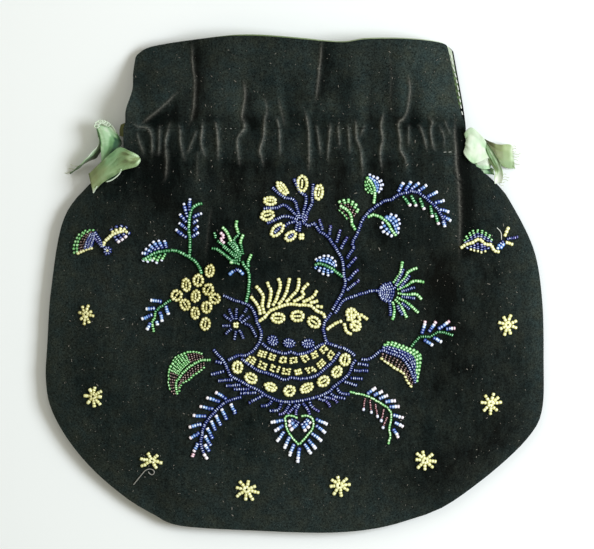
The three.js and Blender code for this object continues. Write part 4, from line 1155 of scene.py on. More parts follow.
MOTIFS = {
    "star_left_upper": star(
        "O", 86, 314.4, (3, -10), (6.5, -3.4), (9, 1.8), (4, 8.6), (-1.5, 10.8), (-5.4, 5.4), (-7.4, -2.2),
        (-3.8, -8.4),
    ),
    "star_left_lower": star(
        "OY", 93.4, 396.2, (-3.8, -8), (1.8, -9.6), (8.6, -5.6), (9.2, 0.4), (7.8, 8.8), (1.6, 10.8),
        (-5.4, 7.4), (-9.6, -1),
    ),
    "star_base_left": star(
        "Y", 152.4, 460, (-4.4, -8), (5.8, -5.8), (10.4, 2.2), (4.4, 8.2), (-11.2, 6), (-12, -1.6),
    ),
    "star_base_middle_left": star(
        "Y", 246.4, 489, (-6.8, -8.6), (2.2, -9.8), (9.8, -3.6), (13, 3.4), (6.8, 10.8), (-0.8, 11.2),
        (-10.4, 7.2), (-10.8, -2),
    ),
    "star_base_middle_right": star(
        "Y", 339.4, 485, (-8.8, -6.2), (-2, -9.4), (7.8, -7.6), (11, -1), (8.8, 5), (1.8, 11.2), (-6.2, 9.4),
        (-10, 0.8),
    ),
    "star_base_right": star(
        "Y", 424.6, 460, (-8.6, -7.6), (-2.4, -9.6), (8.2, -7), (11.6, 0.8), (8.2, 7.2), (0.2, 9.6),
        (-7.8, 7.8), (-9.8, -1.2),
    ),
    "star_right_lower": star(
        "Y", 490.2, 403, (-6, -8.2), (3, -10), (8.4, -6.6), (11, -1), (6, 7.6), (-0.2, 11.4), (-7.2, 8),
        (-10.2, -1),
    ),
    "star_right_upper": star(
        "Y", 507.4, 325, (-4.8, -8.6), (2.8, -10.6), (8.8, -4.6), (9.2, 3), (2.4, 9.4), (-3.6, 10.6), (-8, 4),
        (-9.8, -2.6),
    ),
    "left_insect": (
        run("y", (93.4, 247.6), (88, 249), (83.4, 251), (77.4, 254))
        + ribs("BBBRRmm", [(92.6, 246), (94.6, 241.4), (95.6, 235.4)],
               [(73, 253.4), (72.6, 247), (74.8, 240.4), (77.8, 235), (82.6, 231.8), (87.2, 229.6),
                (93.2, 229.4)], 10)
        + run("VB", (95, 238), (99, 242.6), (102.6, 247.4))
        + run("B", (94.6, 232), (98.4, 237.6), (101.6, 242.6), (104, 248))
        + oval("B", 108, 250.6, 4.8, 4.8, bar="y", share=0.3)
        + run("Y", (103.2, 246.6), (105, 242), (108.4, 238.4), (113.2, 234.6), (119.4, 232), (125, 231))
        + spikes("yNB", (113.4, 233, 111, 228.8), (116.6, 231.4, 116.8, 225.6), (120.6, 230.2, 122.4, 224.6),
                 (124, 230, 127.6, 226.6), (125.4, 231.8, 131, 233.6))
        + spikes("BBN", (114.6, 236.4, 120, 242.8), (118.8, 234.6, 123.4, 240.4), (123, 233.4, 127, 238))
    ),
    "right_insect": (
        run("Y", (460, 248), (466, 244.6), (472.4, 242.2), (478.8, 239), (484.4, 244), (490.4, 245),
            (494, 251), (499.4, 252))
        + ribs("BBmm", [(465.4, 243), (472, 240), (478.8, 236.8), (484.4, 240.8), (489.6, 242.6)],
               [(463.4, 239.8), (466, 234.4), (471.6, 230.4), (478, 229), (485, 231.4), (489.6, 234.4),
                (491.6, 238.6)], 9)
        + ribs("VBBj", [(467, 246.6), (473, 244.6), (479, 242.6), (484, 246), (487, 247)],
               [(466.2, 248.8), (471.4, 250.8), (476.8, 252.4), (481.8, 253.6), (485.4, 252), (487.6, 249.4)],
               7)
        + run("LB", (497, 249.6), (498.2, 246.4), (500.4, 243.4), (503.4, 241))
        + run("LL", (500.2, 249.2), (501.8, 246), (504, 243.4))
        + run("Y", (504.4, 236.8), (508.2, 227.2))
        + run("Y", (504.8, 242), (512.8, 244.8))
        + run("BV", (506, 239), (518, 237))
    ),
    "lavender_sprig": (
        run("S", (189.6, 256), (190, 247), (190, 238), (189, 229), (190, 215.5), (193.7, 207), (202.5, 203))
        + spikes("BBbbw", (187, 238, 175.3, 229.3), (187.6, 229.8, 179, 222.7), (187, 222.7, 179.4, 214),
                 (187.6, 217.5, 184, 203.3), (189.6, 211, 189.8, 198.4))
        + spikes("Bbbw", (191.8, 237, 199.3, 232.3), (192.9, 231.5, 198.8, 226), (192.9, 224, 198, 219.8),
                 (192.7, 217.6, 202.3, 213))
        + run("S", (201.8, 274), (199.8, 267.6), (195.7, 262), (189.6, 257.3), (180.4, 252.4), (175, 250.7),
              (168, 250.7), (158, 252.2), (151, 255.2), (143, 260.2))
        + fan("BbLLw", [(167, 248.5), (158, 250), (149, 254)], (164.5, 240), (158.6, 239.8), (153, 241),
              (149, 244.4), (145.4, 248.5), (141.8, 253.3))
        + fan("GmMw", [(166, 253), (158, 254.8), (148, 259)], (161.5, 261.6), (156, 264), (152, 261.6),
              (147, 262.6), (142.5, 261))
    ),
    "grape_cluster": [strand for grape in GRAPES for strand in oval("O", *grape, "h")],
    "small_sprig": (
        run("Gm", (171, 299.5), (166, 303.3), (160, 307.3), (156, 311.4), (155, 317.6), (152.5, 322.7),
            (154, 332))
        + spikes("bbLLW", (162, 301.6, 150.3, 300.2), (155.4, 308.2, 145.7, 309), (153, 314.5, 142, 319),
                 (150.6, 322.7, 147, 330.2))
        + spikes("bLLW", (166, 305.6, 168.7, 315), (160.5, 311.4, 162.6, 322), (156.4, 321, 157.8, 325.4))
    ),
    "bud_spray": (
        run("S", (246.4, 302), (248.3, 292), (249.3, 279.6), (248.8, 272), (245, 266.2), (242, 261.4))
        + run("G", (240.5, 260.5), (230.6, 259.5), (219, 250), (211.5, 248.5))
        + run("G", (240.5, 259), (231.6, 252), (223, 245), (217, 240.4))
        + run("G", (239.6, 255.7), (231.6, 246), (227.8, 242.3))
        + run("GM", (241, 256.6), (235.4, 249), (229.7, 238.5), (226.8, 231.8), (222.5, 227))
        + run("GGM", (241.6, 254.5), (237.8, 248), (234, 239.5), (238.8, 234.6), (236.4, 227), (236.8, 220.3))
        + run("GM", (243, 254.5), (241.4, 246), (240.4, 241.3), (243.5, 234.6))
        + run("G", (236.5, 258.5), (229, 251.5), (222.6, 246.6))
        + run("SG", (238.6, 251.6), (236, 246.4), (232.4, 241.6))
        + run("G", (234, 262), (224.6, 254.4), (217.4, 249.6))
        + run("G", (215.8, 238.5), (214.4, 231.8))
        + run("MGG", (229.7, 262), (235, 263), (240.2, 264.2))
        + run("P", (220.4, 232.4), (223.8, 236.6), (220.8, 239.4), (224.6, 243.4))
        + run("SM", (248.6, 267), (248.3, 261.4), (251.7, 254.3))
        + run("LBL", (229, 274.6), (237, 269.6), (243.4, 274.3))
    ),
    "daisy": (
        oval("y", 236, 325, 3.4, 3.4, bar=None)
        + spikes("D", (231.5, 321.3, 223.5, 314.2), (233.6, 319.6, 229, 308.6), (236.2, 319.4, 236.6, 307.6),
                 (239, 320.4, 243.5, 314.5), (241, 323, 249.8, 316.2), (230.6, 325.6, 222.2, 325.8),
                 (231.6, 328.4, 225.5, 333.9), (236, 330.6, 234.2, 339.6), (239.4, 329.4, 243.8, 338.7))
        + run("D", (244.6, 312.6), (247.2, 307.8))
        + run("D", (244.4, 323.8), (249.7, 325), (253.5, 330.8), (256.4, 336.8))
    ),
    "fuchsia": (
        run("B", (300, 219), (294.3, 201), (286, 198.3), (278.5, 193.5), (272.2, 187.3))
        + run("B", (301.6, 219.4), (306.2, 198.3), (300.5, 192.5), (295.7, 184), (293.6, 178.6))
        + run("B", (302.8, 220.6), (311.5, 204), (312, 196.4), (313.4, 184))
        + run("B", (298.8, 218.4), (285.2, 205.6), (276.6, 207.8), (263.2, 208.8))
        + run("B", (298, 219.8), (285.2, 216.5), (276.6, 219.6), (266.6, 223.4))
        + run("B", (297.4, 221), (289, 223.2), (284.6, 226.6))
        + run("B", (297.6, 222), (295.9, 231))
        + run("B", (299.8, 221), (299.7, 232))
        + run("BV", (302, 221.8), (306, 219.6), (306.4, 216.4))
        + oval("Y", 282.3, 188.7, 9, 4.6, 51)
        + oval("Y", 302, 184, 6.4, 9.4, 4)
        + oval("Y", 318.7, 192.5, 5.4, 8.8, 8)
        + oval("Y", 270, 201, 7.4, 5.4, 4)
        + oval("Y", 267.5, 215.5, 7.8, 6.2, -14)
        + oval("Y", 277.3, 230, 9.2, 5.8, -48, "B")
        + oval("Y", 290.6, 236.2, 7.4, 5.4, -41, "B")
        + oval("Y", 301.4, 236.8, 3.2, 4.6, 0, None)
    ),
    "tall_stem": (
        run("B", (303, 223), (309, 226), (314, 223.6), (318.7, 230.8), (327.3, 236.6), (334, 246),
            (341.5, 258.6), (343, 267), (343.4, 275), (345.3, 283.4), (341.5, 294), (335.7, 303.5),
            (332, 310))
        + spikes("BBV", (322.5, 230, 318.7, 219.3), (329.2, 235, 330.6, 225), (336, 243, 340.3, 229.5),
                 (340.5, 249, 347.2, 236.6), (346.7, 267.5, 356.3, 257), (347.4, 280.4, 358.2, 269),
                 (346, 290.6, 359.2, 280))
        + run("S", (342, 277), (335, 270.8), (328, 266.7), (320, 263.6), (314.5, 265.5))
        + ribs("llw", [(318, 261.2), (326, 263), (333, 266.4)],
               [(315, 258.6), (320.2, 256), (325.4, 254.6), (330.6, 255.2), (335.2, 259.4), (337, 265)], 7)
        + ribs("llw", [(317, 265.8), (325, 268), (331, 270.4)],
               [(314.6, 268.8), (318.6, 272), (322.6, 275), (327.4, 276.4), (332.2, 273.2)], 5)
    ),
    "right_branch": (
        run("B", (346.3, 258.5), (353.4, 248), (352, 244), (355.4, 236.6), (358.7, 230), (361.6, 221.2),
            (365.4, 215.5), (371, 209.8), (377.8, 205), (384.5, 201), (391.2, 199.7), (397, 195.4),
            (404.6, 193), (414.2, 191.6), (422, 195.4), (427.6, 200.2), (435.3, 207), (440, 213.6),
            (444, 222), (444.8, 226))
        + spikes("bbLLW", (397.5, 192, 403.2, 182.5), (404.6, 191, 411, 181.5), (410.8, 189.4, 419, 183),
                 (418, 191.4, 426.4, 185.2), (427, 197.3, 437.4, 191.8), (434.6, 203, 444.2, 200.5),
                 (439, 209.5, 449, 212.2), (443, 216.5, 450.8, 221), (443, 221.2, 444.6, 227.5))
        + spikes("GSSSN", (402.4, 196.4, 410.4, 206.4), (410.6, 195.4, 416.2, 206.6),
                 (419.4, 198, 423.8, 210.2), (430, 205.5, 432, 217.4), (434.8, 212.6, 438, 225))
        + run("M", (355.4, 230), (352, 225), (351, 217.4), (347.2, 210.7), (339.6, 206))
        + ribs("RRMM", [(342, 205), (348, 208), (353, 217)],
               [(338.4, 201), (342.4, 199.6), (346.9, 198.4), (351.2, 200), (355.2, 202.2), (358.4, 208.6)],
               6)
        + ribs("RRm", [(341, 208.6), (344, 210.5), (349.4, 218)],
               [(339, 211), (342.2, 214.8), (345.4, 218.8)], 4)
        + run("M", (373.5, 204), (374.5, 195.4), (374, 188.7), (370.2, 182), (366, 177.4))
        + ribs("m", [(368, 182), (370, 185), (372.5, 191)],
               [(364, 182), (364, 187.6), (366, 192.4), (370.8, 194.4)], 5)
        + ribs("lw", [(369.8, 179), (373, 182.6), (375.8, 190)],
               [(369.4, 174.2), (374.5, 175.6), (379.6, 178.4), (383.2, 182.4), (383, 188), (379.4, 192.8)],
               7)
        + run("M", (367.3, 217), (374, 215), (381.7, 218.4), (387.4, 223.2), (391.2, 230), (395.6, 235.8))
        + ribs("lLw", [(385, 218.6), (391, 224), (395, 231.6)],
               [(387.6, 216), (393.8, 213.2), (398.6, 217.6), (400.6, 223.2), (400, 228.2), (398.6, 233.4)],
               7)
        + ribs("lw", [(383.6, 222.6), (387.4, 227.6), (391.6, 234)],
               [(381.2, 223.2), (379.2, 228), (381.2, 232.2), (385.4, 234.8), (390.4, 237.4)], 5)
    ),
    "thistle": (
        run("B", (334.5, 313.4), (339.6, 306), (343.4, 300.2), (354, 296), (365.4, 292.5), (373, 290.6),
            (379, 291))
        + ribs("B", [(380, 287.5), (378.6, 292), (380, 297)], [(391, 282.4), (394.6, 291.5), (391, 301.4)], 7)
        + run("B", (386, 283.8), (382, 286.2), (379.4, 290.2), (380, 296), (384, 299.8), (389.6, 302))
        + run("mM", (393, 283), (397, 277), (400, 272), (402.2, 261.4))
        + run("mM", (396, 286.5), (404.6, 277.7), (408.5, 271.6), (417, 268))
        + run("mM", (396.6, 289.5), (406.6, 285.4), (414.2, 281), (423.8, 282))
        + run("mM", (397, 293.2), (406.6, 294.6), (415.2, 294), (421.6, 299.4))
        + run("mM", (396, 296.8), (406.6, 302.6), (417.9, 312.6))
        + run("mM", (394.4, 299), (400.8, 306.3), (406.4, 317.8))
        + run("mM", (392.2, 301), (394.2, 310.4), (392, 320.2))
        + spikes("B", (394, 288, 403.6, 268.6), (399.5, 288, 409.6, 275.4), (400.5, 291.6, 414.6, 287.2),
                 (401, 296.6, 415.4, 298.4), (401, 302.8, 409.4, 309.4), (396.4, 305.4, 402.5, 315.2),
                 (389.6, 303, 390, 315.8))
    ),
    "yellow_blossom": (
        run("Y", (327, 330), (330.4, 326.2), (336, 323.2), (342, 320.6))
        + oval("Y", 351, 313.4, 6.2, 6.6, 0, "Y")
        + oval("Y", 355.4, 325.6, 6.4, 6.4, 30, "Y")
        + run("Y", (346.4, 319.4), (353, 319.6))
        + run("y", (348, 310.4), (353.6, 316.4))
        + run("y", (352.4, 323), (358, 328.4))
        + run("y", (357.4, 312.6), (359.6, 321))
        + run("Y", (358, 318), (361, 315), (367.6, 319.4))
        + run("Y", (344, 323), (345.6, 330), (349, 333.6), (352, 334))
    ),
    "basket_outline": (
        run("DBB", (223, 295.4), (228, 297.3), (234.4, 300.2), (245, 303.5), (251.6, 307.8), (255.4, 315.5),
            (257.3, 323), (261, 331), (261, 336.5), (258.3, 344.2), (252.5, 351), (246.8, 354.7),
            (237.2, 355.7), (227.7, 360.4))
        + run("B", (213.3, 349.3), (219.4, 356), (224.5, 362), (227.6, 369.2), (230.6, 375.3), (238.2, 379.6),
              (248.7, 385.3), (258.3, 390), (267.8, 396), (279.3, 400.6), (290.8, 401.6), (304.2, 399.7),
              (315.7, 396.8), (328, 392), (333.8, 386.3), (343.4, 378.6), (349, 373), (352, 364.3),
              (355.8, 359.5))
        + run("B", (215.3, 361), (222.5, 362.8))
        + run("B", (331.5, 312.6), (326.2, 319.3), (323.3, 327), (324.3, 334.6), (327, 342.3), (333.8, 345),
              (339, 347), (343.4, 348), (350, 351.8), (355, 355.7))
        + run("B", (262, 343), (267.8, 348), (277.4, 351.8), (285, 353.3), (290.3, 351.8), (296.5, 353.8),
              (304.2, 353.3), (311.8, 350), (319.5, 345), (326.2, 342.8))
        + run("B", (241, 358.5), (248.7, 363.9), (257.3, 370), (267.8, 373), (277.4, 376.4), (284, 379.4),
              (291.8, 377.4), (303.2, 378.4), (315.7, 375.4), (324.3, 368.6), (332, 362), (339.6, 351.8))
        + spikes("B", (224.5, 371, 211, 374.3), (232.7, 379.4, 218, 380.4), (240.8, 384.5, 226, 385.5),
                 (249.5, 388.6, 233.7, 389), (256.4, 392.5, 240, 393), (263, 395, 248.7, 402.5))
        + run("B", (272, 400.3), (268, 404.5), (261, 406))
        + run("B", (280.7, 403), (278.4, 409.2), (269.2, 410.6))
        + run("BV", (289.8, 403.7), (284, 412.4), (278.4, 414))
        + run("BV", (296.7, 403.7), (292, 409), (287.5, 413.7))
        + run("BV", (299.8, 403.4), (296.4, 409.8), (296, 415))
        + run("BV", (302.4, 402.2), (307.6, 409), (310, 414.4))
        + run("BV", (309.3, 401.4), (312, 406.8), (319.3, 411.4))
        + run("BV", (318, 398.2), (326.6, 401.4), (330.4, 406.8))
        + run("BV", (323.5, 396.4), (333.4, 399), (337.7, 402.6))
        + run("B", (330.4, 392.8), (334.4, 396), (345, 398.4))
        + run("B", (336.2, 387.4), (341, 393), (349.5, 393.8))
        + spikes("B", (344, 381.5, 356.8, 385.3), (350, 377.7, 362.5, 378.6), (353.5, 370.5, 368.3, 370.5),
                 (357, 363.3, 368.3, 365.2))
    ),
    "basket_plume": (
        run("Y", (258.7, 321.2), (264.5, 317.4), (269.7, 311.2), (279.3, 307), (289, 304), (301.3, 305),
            (311, 306), (316.6, 310.7), (323.3, 313.6), (324.3, 318.4))
        + run("Y", (250.6, 296.4), (258.3, 306), (260.6, 314.5))
        + run("Y", (256, 285.8), (263, 295.4), (262.4, 305), (264.4, 313.4))
        + run("Y", (267, 282), (270.7, 290.6), (269.7, 300), (267.8, 307.8))
        + run("Y", (278, 278), (280.3, 285), (277.4, 296.4), (273, 305.8))
        + run("Y", (289, 278), (288, 286.8), (284, 297.3), (278.2, 304.4))
        + run("Y", (299, 278), (297.5, 288.7), (290.8, 297.3), (285.6, 302))
        + run("Y", (308.5, 283.4), (302.3, 289.7), (303.2, 296), (293.4, 301.6))
        + run("Y", (317, 290.6), (311.8, 297.3), (302.3, 302))
        + run("Y", (318.5, 300.7), (309.5, 303))
        + run("Y", (322.6, 307), (316, 306.2))
    ),
    "upper_ring_left": oval("Y", 277.9, 318, 7.9, 6),
    "upper_ring_middle": oval("Y", 297.3, 316, 7.7, 6.4),
    "upper_ring_right": oval("Y", 313.8, 321.9, 7.7, 6.4, 35),
    "middle_ring_left": filled_oval(272.6, 340.4, 6.4, 5.6, 30),
    "middle_ring_centre": filled_oval(289, 343, 6.8, 5.3, 12),
    "middle_ring_right": filled_oval(308, 343.5, 7.3, 5.2, 0),
    **{f"bowl_ring_{i}": oval("Y", *ring) for i, ring in enumerate(BOWL_RINGS, 1)},
    "block_row_upper": blocks(
        [(257, 352.4), (262, 353.8), (272, 357), (281.7, 360), (293.7, 360), (304.7, 358.2), (314.2, 354.7),
         (323.8, 349), (328, 346)], 7,
    ),
    "block_row_lower": blocks(
        [(246, 357), (251, 360), (261, 364.6), (272, 368), (285, 371.2), (297.5, 372), (311, 369.3),
         (322.4, 362.8), (331, 354.2), (334, 350)], 8,
    ),
    "left_leaf": (
        run("m", (211, 360), (203, 360), (194, 363.6), (185.7, 370), (179.6, 377.3), (176, 383.5),
            (177.6, 394.7))
        + ribs("rrrrm", [(203, 358.5), (197, 360), (191, 362.6)],
               [(201.4, 352.6), (194.4, 350.6), (187.4, 350.8)], 6)
        + ribs("gggm", [(189.6, 363.4), (184, 368), (179.4, 374)], [(184, 351.8), (175, 357), (168.4, 368.6)],
               8)
        + ribs("rrrrm", [(178.4, 375.5), (174.4, 384), (176, 392.5)],
               [(168.2, 371.6), (167.8, 380.4), (169.2, 388.6), (173.3, 394)], 8)
        + ribs("rrrm", [(204, 361.8), (196, 365), (188, 371), (181.6, 378.6), (178.6, 384.5)],
               [(203.8, 368.4), (201, 371.4), (195, 375.5), (189.3, 380.6), (183.7, 383.4), (180, 387),
                (179.8, 391.6)], 12)
    ),
    "left_feather": (
        run("B", (241.8, 396.7), (234.7, 398.3), (227.6, 400.8), (221.4, 405), (215.3, 411), (209.2, 418.2),
            (204, 426.3), (202, 435.5), (201, 442.7), (204, 453))
        + spikes("bbLLN", (226.5, 398.6, 215.3, 391.6), (220, 401.3, 206.6, 397.2), (213.4, 408.6, 200, 406),
                 (206.4, 416, 193, 415), (202, 423.6, 189.3, 426.8), (199.6, 432.4, 189.8, 438),
                 (198.6, 442.7, 194, 451))
        + run("P", (193.8, 452.6), (192.6, 456.4))
        + spikes("WLLbb", (230.6, 403.4, 235.7, 413.6), (221.6, 408.4, 227, 419.2),
                 (215.6, 414.6, 221, 425.3), (211.2, 420, 215.8, 430.4), (207.2, 427.3, 212.8, 438),
                 (205, 435.5, 211.2, 445.2), (205, 443.6, 209.4, 451))
        + run("N", (203.6, 453.4), (208, 458.4))
    ),
    "heart_flower": (
        run("t", (297.6, 417.6), (291.4, 415.4), (285.6, 416.4), (285.6, 423.2), (288.2, 431.4),
            (293.4, 438.6), (298.4, 444.4))
        + run("t", (301.2, 416), (307.6, 415.6), (312.2, 418.4), (313.4, 425), (310.2, 431.6), (304, 438.8),
              (299.6, 443.6))
        + spikes("BLN", (293.4, 418.2, 288.4, 421.8), (296.4, 419.6, 288.4, 426), (299, 421.4, 290.2, 430.4))
        + spikes("BLN", (305.6, 418.4, 310.6, 423), (303.4, 420.2, 308.8, 428.2), (301.4, 422.6, 305.4, 431))
        + spikes("bLLWW", (283.4, 419.6, 270.5, 422), (283.6, 424.6, 274.4, 430.6), (284.3, 431, 277, 441.4),
                 (289.4, 436, 284.3, 448.2), (294.4, 443.5, 289, 455.6), (299.4, 447, 297.5, 462.2),
                 (304, 443, 311, 453.2), (307.8, 439, 316.2, 448.7), (311.5, 432.8, 321.8, 440.6),
                 (316, 425, 325.6, 433), (315.6, 418.6, 327.5, 424.4))
    ),
    "right_leaf": (
        run("B", (361, 358.6), (366, 359.4), (373.3, 356.3), (381.4, 350.2), (390.6, 353.3), (399.8, 356.3),
            (405, 361.4), (410, 369.6), (415, 383))
        + ribs("BBMM", [(383, 348.6), (391, 351.4), (400, 354.4), (407, 360), (412, 368.4), (415, 377)],
               [(385, 343.4), (389.6, 340.8), (397.8, 342.7), (405, 345.7), (413, 348.9), (417.9, 351.5),
                (421.4, 355.2), (420.9, 361.4), (420.4, 367.6), (418.9, 374.7), (417, 381.5)], 18)
        + ribs("RRRY", [(383, 352.8), (392, 356), (399, 359), (404.6, 365), (409.6, 373), (412.6, 381)],
               [(381, 359.6), (385, 362.6), (392.7, 368.2), (398.8, 371.8), (403.4, 375), (406, 381),
                (410, 387.2)], 12)
        + run("G", (411, 346.6), (415, 341), (421.2, 336.4), (429.4, 336.4), (435.5, 333), (441.6, 331.8),
              (453, 335.4))
        + spikes("bbLWP", (421.4, 333.6, 425.3, 320.4), (428.6, 331.8, 435.7, 321.4),
                 (437.8, 329, 449.5, 320.8), (445.9, 328.8, 455, 328.2))
        + spikes("bLLW", (423.5, 339.5, 432.6, 345.2), (432.6, 337.2, 441.4, 342.2))
    ),
    "right_feather": (
        run("t", (349.5, 391.5), (359.5, 393.8), (369.2, 396.6), (378.4, 401.7), (385.5, 406.3), (390.6, 412),
            (390.6, 419.6), (389, 428.8), (390, 435), (388, 444))
        + spikes("bLWN", (367, 393.6, 375.5, 387.2), (373.3, 395, 382.6, 390.8), (378.6, 398.3, 387.8, 394.8),
                 (384.8, 401.5, 395.4, 400), (388.8, 406.3, 399.5, 406.1), (392.9, 414.5, 403.2, 417.6),
                 (394.2, 421.6, 403.2, 426.4), (392.7, 428.3, 398.5, 437.2))
        + spikes("qqqw", (365, 397.7, 363, 410.6), (369.7, 399.2, 371.2, 413.7), (375.3, 403.3, 377.3, 417.8),
                 (383.5, 408.4, 381, 421.8), (387, 416.5, 382, 428.5))
    ),
}


def strung(codes, length):
    """Kinds and lengths of the beads along a strand; each code has an equal stretch if there is room."""
    room = max(1, round(length / np.mean([BEAD_KINDS[code][2] for code in codes])))
    if room < len(codes):
        codes = [codes[int((i + 0.5) / room * len(codes))] for i in range(room)]
    stretch = length / len(codes)
    row = []
    for code in codes:
        count = max(1, round(stretch / BEAD_KINDS[code][2]))
        row += [(code, stretch / count)] * count
    return row


def bead_motif(name, strands):
    """The beads of one motif, strung along its strands and standing on the velvet."""
    places, directions, sizes, kinds, even = [], [], [], [], []
    for codes, course in strands:
        line = along(flowing(chart(course)), np.linspace(0, 1, STRAND_POINTS))
        length = measured(line)[-1]
        row = strung(codes, length)
        taken = np.array([long for _, long in row])
        share = (np.cumsum(taken) - taken / 2) / length
        ends = along(line, np.clip([share - 0.01, share + 0.01], 0, 1))
        middle = along(line, share) + rng.normal(0, BEAD_SHIFT, (len(row), 2))
        level = RELIEF.at(middle[:, 0], middle[:, 1])
        rise = [RELIEF.at(end[:, 0], end[:, 1]) for end in ends]
        step = np.column_stack((ends[1] - ends[0], rise[1] - rise[0]))
        wobble = rng.normal(0, BEAD_SHIFT, (len(row), 3)) * np.linalg.norm(step, axis=1, keepdims=True)
        for (kind, long), spot, height in zip(row, middle, level):
            wide = BEAD_KINDS[kind][1] * rng.uniform(*BEAD_WIDTHS)
            kinds.append(GLASS_ORDER.index(BEAD_KINDS[kind][0]))
            even.append(BARRELS.get(kind, 0))
            places.append((*spot, height + BEAD_SINK * wide))
            sizes.append((wide, wide, long * rng.uniform(*BEAD_LENGTHS)))
        directions.append(step + wobble)
    used = sorted(set(kinds))
    made = copies(
        f"{name}_beads", BEAD, places, np.vstack(directions), sizes,
        [bead_finishes[k] for k in used], [used.index(k) for k in kinds],
        BARREL, np.array(even),
    )
    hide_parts(name)
    return made


# Velvet and lining: rows of points in body, gathers and heading, points across, and how the edges are turned
FRONT_ROWS = (50, 50, 20)
FRONT_ACROSS = 368
BACK_ROWS = (66, 44, 18)
BACK_ACROSS = 150
LINING_ROWS = (50, 30, 20)
LINING_ACROSS = 90
CLOSE_SHARES = (0.0006, 0.0018)
CLOSE_LEVELS = (0.12, 0.4)
CASING_MARGIN = 12


def spread(count):
    """Shares from 0 to 1, close together at both ends so that the edge turns crisply."""
    near, next_near = CLOSE_SHARES
    inner = np.linspace(0, 1, count)
    return np.unique(np.concatenate((inner, [near, next_near, 1 - next_near, 1 - near])))


def levels(panel, body, gathers, heading):
    """Levels from the base to the mouth, closest together round the casing."""
    low, high = panel.left[0, 1], panel.left[-1, 1]
    near, next_near = CLOSE_LEVELS
    stops = [low, NECK_Y - CASING_MARGIN, CASING_Y + CASING_MARGIN, high]
    runs = [np.linspace(a, b, n) for a, b, n in zip(stops, stops[1:], (body, gathers, heading))]
    close = [low + near, low + next_near, high - next_near, high - near]
    return np.unique(np.concatenate((*runs, close)))


def stack(x, y, z):
    return np.stack((x, y, z), axis=-1)


def make_velvet():
    x, y = FRONT.grid(levels(FRONT, *FRONT_ROWS), spread(FRONT_ACROSS))
    z, crest, nap, aside = front_height(x, y)
    front = cloth("velvet_front", stack(x, y, z), stack(x, y, z - VELVET_CLOTH), velvet)
    mark(front, "crest", np.stack((crest, 0 * crest)))
    mark_both(front, nap=nap, aside=aside)
    x, y = BACK.grid(levels(BACK, *BACK_ROWS), spread(BACK_ACROSS))
    z, crest, nap = back_height(x, y)
    back = cloth("velvet_back", stack(x, y, z + VELVET_CLOTH), stack(x, y, z), velvet)
    mark(back, "crest", np.stack((0 * crest, crest)))
    mark_both(back, nap=nap)
    for made, node in ((front, "front_panel"), (back, "back_panel")):
        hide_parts(node)
    return front, back


def make_lining(panel, name, node, face, outward, peek):
    """Silk lining just inside a panel, out to the edge at the heading; peek lets it out at the left."""

    def inset(y):
        return mix(LINING_INSET, SLIT_INSET, smooth(CASING_Y, CASING_Y + SLIT_RUN, y))

    across = spread(LINING_ACROSS)
    x, y = panel.grid(levels(panel, *LINING_ROWS), across, inset)
    left_edge = (1 - across[None, :]) ** 40
    right_edge = across[None, :] ** 12
    within = 1 - smooth(NECK_Y - 40, NECK_Y, y)
    window = smooth(PEEK_Y - 5.4, PEEK_Y - 2.4, y) * (1 - smooth(PEEK_Y + 2.6, PEEK_Y + 5.8, y))
    x = x * (1 - 0.05 * within) - np.where(peek, inset(y) + peek, 0) * left_edge * window
    x = x + CORNER_INSET * (1 - across[None, :]) ** 4 * smooth(88, 100, y)
    y = mix(y, 0.92 * y, within) + 0.6 * smooth(MOUTH_Y - 12, MOUTH_Y - 1, y)
    wrinkle = 0.12 * np.sin(x / 2.3 + 0.8 * np.sin(y / 9)) + 0.1 * np.sin(y / 4.1 + x / 11)
    z = face(x, y, False) - outward * (LINING_GAP * 0.6 + SILK_CLOTH) + wrinkle * 0.6
    upper, lower = z + SILK_CLOTH / 2, z - SILK_CLOTH / 2
    made = cloth(name, stack(x, y, upper), stack(x, y, lower), lining_silk, np.stack((y, x), axis=-1))
    # Painted light and shade: the lining is darker deep in the bag, lighter up the heading and along the
    # right edge near the mouth
    rim = 0.4 * smooth(MOUTH_Y - 16, MOUTH_Y - 8, y) + 0.1
    light = 0.35 + 0.3 * smooth(CASING_Y, MOUTH_Y, y) + 0.1 * np.sin(x / 23)
    light = light + rim * right_edge + 0.04 * left_edge
    warm = 0.25 + 0.75 * left_edge - 0.2 * right_edge + 0 * x
    mark_both(made, light=light, warm=warm)
    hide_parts(node)
    return made


velvet_front, velvet_back = make_velvet()
front_lining = make_lining(FRONT, "lining_front", "front_lining", front_height, 1, 0)
back_lining = make_lining(BACK, "lining_back", "back_lining", back_height, -1, 2.0)


# Ribbons
RIBBON_POINTS = 25
DRAWSTRING_OUT = 2
BUNCH_RUN = 5
HIDDEN_LIGHT = 0.45
HIDDEN_WARM = 0.5


def plain(made):
    """One level of painted light and one yellowing for a ribbon that hardly shows."""
    count = len(made.data.vertices)
    mark(made, "light", np.full(count, HIDDEN_LIGHT))
    mark(made, "warm", np.full(count, HIDDEN_WARM))


def toned(made, u, v, spots):
    """Painted light and shade, and yellowing, flow between spots, each given with its shares along and
    across.
    """
    spots = np.array(spots, float)
    apart = (u[..., None] - spots[:, 0]) ** 2 + (0.6 * (v[..., None] - spots[:, 1])) ** 2
    weight = 1 / (apart + 0.0006) ** 2
    weight /= weight.sum(-1, keepdims=True)
    light, warm = ((weight * spots[:, column]).sum(-1) for column in (2, 3))
    mark_both(made, light=light, warm=warm)


